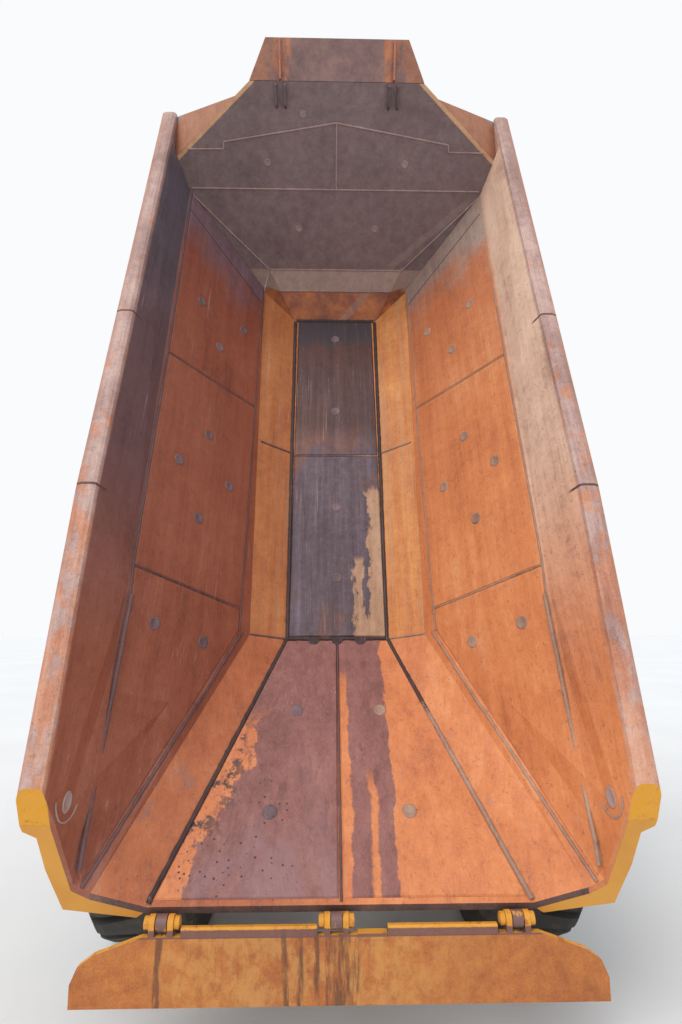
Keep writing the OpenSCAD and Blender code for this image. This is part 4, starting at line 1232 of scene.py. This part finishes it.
# The middle of the oval pad near each rear corner: across, along and up
PAD_X, PAD_S, PAD_H = 1.447, -1.225, 1.08
wide_lines, thin_lines, thick_lines, pale_lines, edge_lines, pad_lines = [], [], [], [], [], []
for side in (-1, 1):
    def run(*points):
        return [mirrored(point, side) for point in points]

    wide_lines.append(run((0.389, 0, 0), (1.036, -1.70, 0.757)))
    wide_lines.append(run((0.389, 0, 0), (0.392, 0.53, 0), (0.404, 1.9, 0), (0.413, 3.40, 0)))
    thin_lines += [run(FACET_EDGE[k], LINER_TOP[k]) for k in ("seam_1", "seam_2")]
    thin_lines.append(run(*LINER_TOP.values()))
    thin_lines.append(run(*list(FACET_EDGE.values())[:5]))
    thin_lines.append(run((0.41, FACET_SEAM - 0.02, 0.003), (0.677, FACET_SEAM + 0.02, 0.128)))
    thin_lines.append(run((0.389, 0, 0.002), (0.665, 0, 0.123)))
    thick_lines.append(run((0.71, 0, 0.19), (1.375, -1.62, 0.846)))
    edge_lines.append(run(LINER_TOP["joint"], LINER_TOP["end"]))
    arc = [math.radians(a) for a in range(95, 300, 20)]
    arc = [(PAD_X, PAD_S + 0.1 * math.cos(t), PAD_H + 0.085 * math.sin(t)) for t in arc]
    pad_lines.append(run(*arc))
    pale_lines.append(run((0, 4.31, ROOF_TOP), (1.035, 4.244, ROOF_FOOT)))
    pale_lines.append(run((1.035, 4.244, ROOF_FOOT), (1.035, 4.22, 1.325), (1.37, 4.21, 1.325)))
    pale_lines.append(run((0.676, 3.783, 0.352), (1.03, 3.92, 0.67), (1.385, 4.07, 0.99)))
thin_lines += [[(0, -0.01, 0), (0, -1.7, 0.757)], [(-0.385, FLOOR_SEAM, 0), (0.385, FLOOR_SEAM, 0)]]
wide_lines += [[(-0.385, 0, 0), (0.385, 0, 0)], [(-0.40, 3.42, 0), (0.40, 3.42, 0)]]
pale_lines += [
    [(0, 4.31, ROOF_TOP), (0, 4.087, LEVEL_SEAM)],
    [(-1.37, 4.09, LEVEL_SEAM), (1.37, 4.09, LEVEL_SEAM)],
    [(-0.67, 3.783, 0.352), (0.67, 3.783, 0.352)],
    [(-0.56, 3.64, 0.203), (0.56, 3.64, 0.203)],
]
dark_bead.run("dirty_gaps", guide_lines(wide_lines), "bed", radius=0.017)
rust_bead.run("liner_seams", guide_lines(thin_lines), "bed", radius=0.008)
rust_bead.run("tail_welds", guide_lines(thick_lines), "bed", radius=0.010, waver=0.3)
rust_bead.run(
    "tail_liner_edges", guide_lines(edge_lines, lift=PLATE_LIFT + 0.01), "bed", radius=0.013
)
pale_bead.run("front_wall_welds", guide_lines(pale_lines), "bed", radius=0.008)
# The pale weld round each pad also paints the highlight on its rim
pale_bead.run("pad_welds", guide_lines(pad_lines), "bed", radius=0.005, waver=0.5)

# %% [markdown]
# ## Plug welds
# Each liner plate is also held in its middle: a hole in it is filled with weld, which leaves a
# round spot with a raised rim. One spot is turned on a lathe in code, from the radii and heights
# of its profile.

# %% Lathe
PLUG_PROFILE = [
    (0.0, 0.0015), (0.026, 0.001), (0.034, 0.004), (0.044, 0.0065), (0.053, 0.004), (0.058, -0.004)
]


def full_turn(count):
    """Angles that divide a full turn evenly."""
    return [2 * math.pi * i / count for i in range(count)]


def dish_faces(first, rings, count):
    """Faces of a dish: a fan round its first point, bands between its rings, a flat underside."""
    around = [(i, (i + 1) % count) for i in range(count)]
    faces = [(first, first + 1 + i, first + 1 + j) for i, j in around]
    for start in range(first + 1, first + 1 + (rings - 1) * count, count):
        faces += [(start + i, start + count + i, start + count + j, start + j) for i, j in around]
    last = first + 1 + (rings - 1) * count
    return faces + [tuple(last + i for i in reversed(range(count)))]


def turned(name, profile, count):
    """A mesh of revolution about Z from (radius, height) pairs, the first on the axis."""
    points = [(0, 0, profile[0][1])]
    for radius, height in profile[1:]:
        points += [(radius * math.cos(t), radius * math.sin(t), height) for t in full_turn(count)]
    mesh = bpy.data.meshes.new(name)
    mesh.from_pydata(points, [], dish_faces(0, len(profile) - 1, count))
    return mesh


# %% [markdown]
# ## A copy on every point
# The tree puts a copy of the turned pattern on each guide point, facing the way that the wall's
# normal says. Nuts, caps and lenses are made by the same tree further down.


# %% Spot tree
def spot_tree(name, pattern, material):
    """A tree that stands a copy of a pattern mesh on each guide point, along its facing."""
    tree = Tree(name, material, size=1.0)
    pattern_object = bpy.data.objects.new(name + "_pattern", pattern)
    facing = tree.node(
        "GeometryNodeInputNamedAttribute", settings={"data_type": "FLOAT_VECTOR"}, Name="facing"
    )
    turn = tree.node("FunctionNodeAlignRotationToVector", settings={"axis": "Z"}, Vector=facing)
    copy = tree.node("GeometryNodeObjectInfo", out="Geometry", Object=pattern_object)
    points = tree.node("GeometryNodeMeshToPoints", Mesh=tree.size("Guide"))
    scale = tree.node("ShaderNodeCombineXYZ", **{axis: tree.size("size") for axis in "XYZ"})
    copies = tree.node(
        "GeometryNodeInstanceOnPoints", Points=points, Instance=copy, Rotation=turn, Scale=scale
    )
    tree.close(copies)
    return tree


def guide_points(places):
    """A mesh of loose points from (place, facing) pairs."""
    guide = bpy.data.meshes.new("guide_points")
    guide.from_pydata([tuple(place) for place, _ in places], [], [])
    facing = guide.attributes.new("facing", "FLOAT_VECTOR", "POINT")
    facing.data.foreach_set("vector", [c for _, normal in places for c in normal])
    return guide


# %% [markdown]
# ## Places of the plugs
# The plugs were read off the picture like the seams, and they lie the same on both sides. The front
# wall has five more, in a paler steel.

# %% Plug places
plug_tree = spot_tree("plug_weld", turned("plug_pattern", PLUG_PROFILE, 20), plug_steel)
SIDE_PLUGS = [
    (1.2, 2.83, 0.78), (1.04, 2.48, 0.578), (0.883, 2.9, 0.368), (1.044, 1.505, 0.6),
    (1.194, 1.124, 0.81), (0.88, 1.15, 0.388), (1.045, 0.73, 0.62), (1.2, -0.157, 0.824),
    (0.946, -0.173, 0.474), (1.215, -0.79, 0.735),
]
TAIL_PLUGS = [(0.288, -0.6, 0.266), (0.42, -1.253, 0.558)]
plug_places = [
    on_wall(x * side, s, h, PLATE_LIFT) for side in (-1, 1) for x, s, h in SIDE_PLUGS + TAIL_PLUGS
]
plug_places += [on_wall(0, s, 0, PLATE_LIFT) for s in (3.158, 2.227, 1.174, 0.515)]
plug_tree.run("plug_welds", guide_points(plug_places), "bed", size=0.8)
front_spots = spot_tree("front_spot", turned("front_spot_pattern", PLUG_PROFILE, 20), front_plug)
front_places = [on_wall(x, 4.18, 1.23, 0.001) for x in (-0.64, 0.64)]
front_places += [on_wall(x, 3.92, 0.722, 0.001) for x in (-0.362, 0.388)]
front_places.append(on_wall(-0.303, 4.337, 1.582, 0.001))
front_spots.run("front_plugs", guide_points(front_places), "bed", size=0.6)

# %% [markdown]
# ## Notches and ovals
# Three notches in the tail plates' front edge show as dark half rounds at the joint of the floor.
# Near each rear corner an oval pad is welded to the upper wall. A pad is a ring of points around an
# ellipse laid on the wall, with a raised rim and a sunken middle.

# %% Notches and pads
NOTCH_PROFILE = [(0.0, 0.003), (0.03, 0.003), (0.042, 0.0024), (0.05, -0.004)]
notch_tree = spot_tree("notch", turned("notch_pattern", NOTCH_PROFILE, 14), dark_seam)
notch_places = [on_wall(x, -0.022, 0, PLATE_LIFT) for x in (-0.18, 0.0, 0.18)]
notch_tree.run("joint_notches", guide_points(notch_places), "bed")

OVAL_RINGS = [(0.0, 0.001), (0.62, 0.001), (0.78, 0.006), (0.92, 0.006), (1.0, -0.002)]


def oval_pads(name, places, half_width, half_length, count=24):
    """Oval pads on the wall, each from rings of points around its middle, as one piece."""
    points, faces = [], []
    for x, s, h in places:
        middle, normal = on_wall(x, s, h)
        along = BED_WAY.normalized()
        along = (along - normal * along.dot(normal)).normalized()
        across = normal.cross(along)
        first = len(points)
        points.append(middle + normal * OVAL_RINGS[0][1])
        for share, lift in OVAL_RINGS[1:]:
            for t in full_turn(count):
                reach = across * (math.cos(t) * half_width) + along * (math.sin(t) * half_length)
                points.append(middle + reach * share + normal * lift)
        faces += dish_faces(first, len(OVAL_RINGS) - 1, count)
    return make_piece(name, points, faces, pale_weld, "bed", smooth=True)


# The pads are pale weld steel, whose pale tone also paints the highlight that their rims catch
oval_pads("wall_pads", [(x, PAD_S, PAD_H) for x in (-PAD_X, PAD_X)], 0.034, 0.058)

# %% [markdown]
# ## Nuts and bolts
# Twenty nuts hold each rim to its hub, and twenty more on two smaller rings close the hub's cover.
# All are the same lathe pattern with six corners, stood by the tree on rings of points. The ring's
# axis gives the facing.

# %% Nut rings
NUT_PROFILE = [
    (0.0, 0.036), (0.011, 0.034), (0.0125, 0.024), (0.021, 0.022), (0.0245, 0.017), (0.025, -0.002)
]
nut_tree = spot_tree("nut", turned("nut_pattern", NUT_PROFILE, 6), nut_steel)


def ring_of(middle, axis, radius, count):
    """(place, facing) pairs evenly round an axis."""
    axis = Vector(axis).normalized()
    side = axis.orthogonal().normalized()
    other = axis.cross(side)
    ring = [(side * math.cos(t) + other * math.sin(t)) * radius for t in full_turn(count)]
    return [(Vector(middle) + away, axis) for away in ring]


# Each wheel's name, its side of the truck and its middle
WHEELS = []
for axle in (1, 2, 3):
    for name, side in (("left", -1), ("right", 1)):
        middle = Vector(JOINTS[f"wheel_{axle}_{name}_roll"]["pos_m"])
        WHEELS.append((f"{axle}_{name}", side, middle))

# Rings on a wheel: radius, distance outwards from the wheel's middle, how many
WHEEL_RINGS = [(0.264, 0.060, 20), (0.205, 0.078, 12), (0.094, 0.172, 8)]
for wheel, side, middle in WHEELS:
    places = []
    for radius, outwards, count in WHEEL_RINGS:
        places += ring_of(middle + Vector((side * outwards, 0, 0)), (side, 0, 0), radius, count)
    nut_tree.run(f"wheel_nuts_{wheel}", guide_points(places), f"wheel_{wheel}", size=0.8)

# Four bolts on each end of the body's hinge pin
PIN_END_X = 0.51
pin_ends = [(Vector((side * PIN_END_X, HINGE.y, HINGE.z)), (side, 0, 0)) for side in (-1, 1)]
pin_bolts = [pair for middle, axis in pin_ends for pair in ring_of(middle, axis, 0.035, 4)]
nut_tree.run("hinge_pin_bolts", guide_points(pin_bolts), "rear_frame", size=0.7)

# %% [markdown]
# ## Rims on the sidewalls
# A tyre's sidewall has raised rings near its bead. Each ring is turned about the wheel's axis from
# a low arch, and both sit where the sidewall still leans in, clear of the tyre's widest place.

# %% Sidewall rings
RING_STEPS = 72
# Radius and distance outwards from the wheel's middle, down one ring's low arch
SIDEWALL_RINGS = [
    [(0.398, 0.3370), (0.404, 0.3480), (0.416, 0.3525), (0.430, 0.3535), (0.438, 0.3445)],
    [(0.498, 0.3570), (0.503, 0.3660), (0.512, 0.3695), (0.522, 0.3705), (0.530, 0.3630)],
]


def ring_of_revolution(middle, side, arch, first):
    """Points and faces of an arch turned about a wheel's axis, numbered from first."""
    points, faces, n = [], [], len(arch)
    for t in full_turn(RING_STEPS):
        for radius, outwards in arch:
            away = Vector((side * outwards, radius * math.cos(t), radius * math.sin(t)))
            points.append(middle + away)
    for i in range(RING_STEPS):
        for k in range(n - 1):
            a, b = first + i * n + k, first + (i + 1) % RING_STEPS * n + k
            faces.append((a, b, b + 1, a + 1) if side > 0 else (a, a + 1, b + 1, b))
    return points, faces


for wheel, side, middle in WHEELS:
    points, faces = [], []
    for arch in SIDEWALL_RINGS:
        more_points, more_faces = ring_of_revolution(middle, side, arch, len(points))
        points += more_points
        faces += more_faces
    make_piece(f"sidewall_rings_{wheel}", points, faces, tyre_rubber, f"wheel_{wheel}", smooth=True)

# %% [markdown]
# ## Seals, bars and clamps
# A rubber string seals each cab window, bent round bars help the driver climb, a wiper rests on the
# windscreen, and two clamps hold the exhaust pipe. All are tubes along lines, so the bead tree
# makes them again, without its ripples. The cab's lengths are counted from the front axle, as in
# its drawing.

# %% Lines on the cab
AXLE_Y = JOINTS["wheel_1_left_roll"]["pos_m"][1]
# The windscreen leans back by this much for each metre of height, from a foot at this place
SCREEN_LEAN = 118 / 1205
SCREEN_FOOT_Y, SCREEN_FOOT_Z = 0.980, 2.5


def world_lines(lines, closed=False):
    """A mesh of edges through plain points, for strings that lie on nothing."""
    points, edges = [], []
    for line in lines:
        first = len(points)
        points += [tuple(p) for p in line]
        edges += [(i, i + 1) for i in range(first, len(points) - 1)]
        if closed:
            edges.append((len(points) - 1, first))
    guide = bpy.data.meshes.new("guide_lines")
    guide.from_pydata(points, edges, [])
    return guide


def screen(x, z, lift=0.0):
    """A point on the windscreen's leaning face."""
    return (x, AXLE_Y + SCREEN_FOOT_Y - (z - SCREEN_FOOT_Z) * SCREEN_LEAN + lift, z)


def rounded(corners, radius=0.05, steps=4):
    """A closed line through four corners with its corners cut to arcs."""
    line = []
    count = len(corners)
    for i in range(count):
        before, here, after = (Vector(corners[(i + k) % count]) for k in (-1, 0, 1))
        start = here + (before - here).normalized() * radius
        end = here + (after - here).normalized() * radius
        for k in range(steps + 1):
            t = k / steps
            line.append(start.lerp(here, t).lerp(here.lerp(end, t), t))
    return line


def window_line(place, left, right, low, high):
    """A rounded line round a window, whose pane turns two measures into a point."""
    return rounded([place(left, low), place(right, low), place(right, high), place(left, high)])


def side_pane(side):
    """The plane of a side window: from a place along the cab and a height to a point."""
    return lambda y, z: (side * 0.800, AXLE_Y + y, z)


def back_pane(x, z):
    return (x, AXLE_Y - 0.680, z)


# %% [markdown]
# ## Window seals
# A rubber seal holds each pane. Two measures across and two up say where a pane lies, and its
# corners are cut to arcs, because a real seal can't turn a sharp corner.

# %% Seals
seals = [
    window_line(screen, -0.69, 0.69, 2.52, 3.56),
    window_line(back_pane, -0.6, 0.6, 2.5, 3.5),
    window_line(side_pane(1), -0.49, 0.71, 2.45, 3.56),
]
door_seal = window_line(side_pane(-1), -0.19, 0.61, 2.5, 3.56)
seal_tree = bead_tree("seal", window_rubber)
seal_size = {"radius": 0.011, "waver": 0.0}
seal_tree.run("cab_seals", world_lines(seals, closed=True), "front_frame", **seal_size)
seal_tree.run("door_seal", world_lines([door_seal], closed=True), "door", **seal_size)

# %% [markdown]
# ## Bars, wiper and clamps
# The door's handle and the grab bar are each bent from one round bar with both feet on the cab's
# wall. The wiper stands on the leaning screen, and the clamps are closed rings round the pipe.

# %% Bars, wiper and clamps
BAR_FOOT_X = -0.796


def bar(along, out_x, feet, bends):
    """A bent bar on the cab's left side: its feet on the wall and its bends further out."""
    y = AXLE_Y + along
    low, high = ([(BAR_FOOT_X, y, foot), (out_x, y, bend)] for foot, bend in zip(feet, bends))
    return low + high[::-1]


handle = bar(-0.225, -0.84, (2.16, 2.38), (2.17, 2.37))
grab = bar(-0.45, -0.86, (2.3, 3.4), (2.32, 3.38))
wiper = [
    [screen(0.12, 2.46, 0.006), screen(0.12, 2.49, 0.034), screen(-0.22, 3.04, 0.034)],
    [screen(-0.42, 2.86, 0.022), screen(-0.02, 3.22, 0.022)],
]
bar_tree = bead_tree("bar", rail_black)
bar_tree.run("door_handle", world_lines([handle]), "door", radius=0.011, waver=0.0)
bar_size = {"radius": 0.010, "waver": 0.0}
bar_tree.run("grab_bar_and_wiper", world_lines([grab] + wiper), "front_frame", **bar_size)

PIPE_X, PIPE_Y, CLAMP_RADIUS = 1.0, AXLE_Y + 0.780, 0.112
circle = [(math.cos(t) * CLAMP_RADIUS, math.sin(t) * CLAMP_RADIUS) for t in full_turn(28)]
clamps = [[(PIPE_X + x, PIPE_Y + y, z) for x, y in circle] for z in (2.12, 2.84)]
clamp_tree = bead_tree("clamp", nut_steel)
clamp_size = {"radius": 0.009, "waver": 0.0}
clamp_tree.run("exhaust_clamps", world_lines(clamps, closed=True), "front_frame", **clamp_size)

# %% [markdown]
# ## Filler cap
# The tank's cap is a low knob with a step round its foot, turned on the same lathe as the plug
# welds.

# %% Filler cap
CAP_PROFILE = [
    (0.0, 0.034), (0.036, 0.032), (0.046, 0.024), (0.048, 0.008), (0.056, 0.006), (0.058, -0.002)
]
cap_tree = spot_tree("filler_cap", turned("filler_cap_pattern", CAP_PROFILE, 18), rail_black)
cap_place = [(Vector((0.84, AXLE_Y + 1.40, 1.34)), (0, 0, 1))]
cap_tree.run("filler_cap", guide_points(cap_place), "front_frame")

# %% [markdown]
# ## Mirror faces
# A mirror's face is a thin plate with rounded corners that stands just proud of its housing. It is
# a back outline, a smaller front one and the strip between them.

# %% Mirror faces
MIRROR_Y = AXLE_Y + 0.795
MIRROR_MIDDLE_X, MIRROR_MIDDLE_Z = 1.545, 2.73
MIRROR_CORNERS = [(1.46, 2.51), (1.46, 2.95), (1.63, 2.95), (1.63, 2.51)]
# The back and front of the plate: how far behind the housing's face, and its size beside the back's
MIRROR_LAYERS = [(0.0005, 1.0), (0.004, 0.97)]
points, faces = [], []
for side in (-1, 1):
    outline = rounded([(side * x, 0, z) for x, z in MIRROR_CORNERS], 0.03)
    middle = Vector((side * MIRROR_MIDDLE_X, 0, MIRROR_MIDDLE_Z))
    n, back = len(outline), len(points)
    for behind, share in MIRROR_LAYERS:
        shrunk = [middle + (place - middle) * share for place in outline]
        points += [(place.x, MIRROR_Y - behind, place.z) for place in shrunk]
    front = back + n
    around = [(i, (i + 1) % n) for i in range(n)]
    faces += [(back + i, back + j, front + j, front + i) for i, j in around]
    faces.append(tuple(front + i for i in range(n)))
mirrors = make_piece("mirror_faces", points, faces, mirror_glass, "front_frame")
face_outwards(mirrors)

# %% [markdown]
# ## Tail lamp lenses
# Three round red lenses stand on each tail lamp box. They are turned as well, and look backwards.

# %% Tail lamp lenses
LENS_PROFILE = [(0.0, 0.003), (0.030, 0.006), (0.040, 0.004), (0.042, -0.001)]
LAMP_Y, LAMP_Z = AXLE_Y - 6.440 - 0.662, 1.245
lamp_tree = spot_tree("lamp_lens", turned("lamp_lens_pattern", LENS_PROFILE, 24), lamp_red)
lamp_xs = [side * x for side in (-1, 1) for x in (0.52, 0.62, 0.72)]
lamp_places = [(Vector((x, LAMP_Y, LAMP_Z)), (0, -1, 0)) for x in lamp_xs]
lamp_tree.run("tail_lamp_lenses", guide_points(lamp_places), "rear_frame")

# %% [markdown]
# ## The floor under the truck
# One wide pale plane carries the shadow.

# %% Studio floor
FLOOR_HALF = 60.0
floor_mesh = bpy.data.meshes.new("studio_floor")
square = [(-1, -1), (1, -1), (1, 1), (-1, 1)]
floor_mesh.from_pydata([(x * FLOOR_HALF, y * FLOOR_HALF, 0) for x, y in square], [], [(0, 1, 2, 3)])
studio_floor = bpy.data.objects.new("studio_floor", floor_mesh)
scene.collection.objects.link(studio_floor)
floor_finish = Finish("studio_floor")
pale = shades((0.3, 226, 227, 228), (0.7, 232, 233, 234))
pale = floor_finish.ramp(floor_finish.noise(0.4), pale)
studio_floor.data.materials.append(floor_finish.done(pale, 0.85))
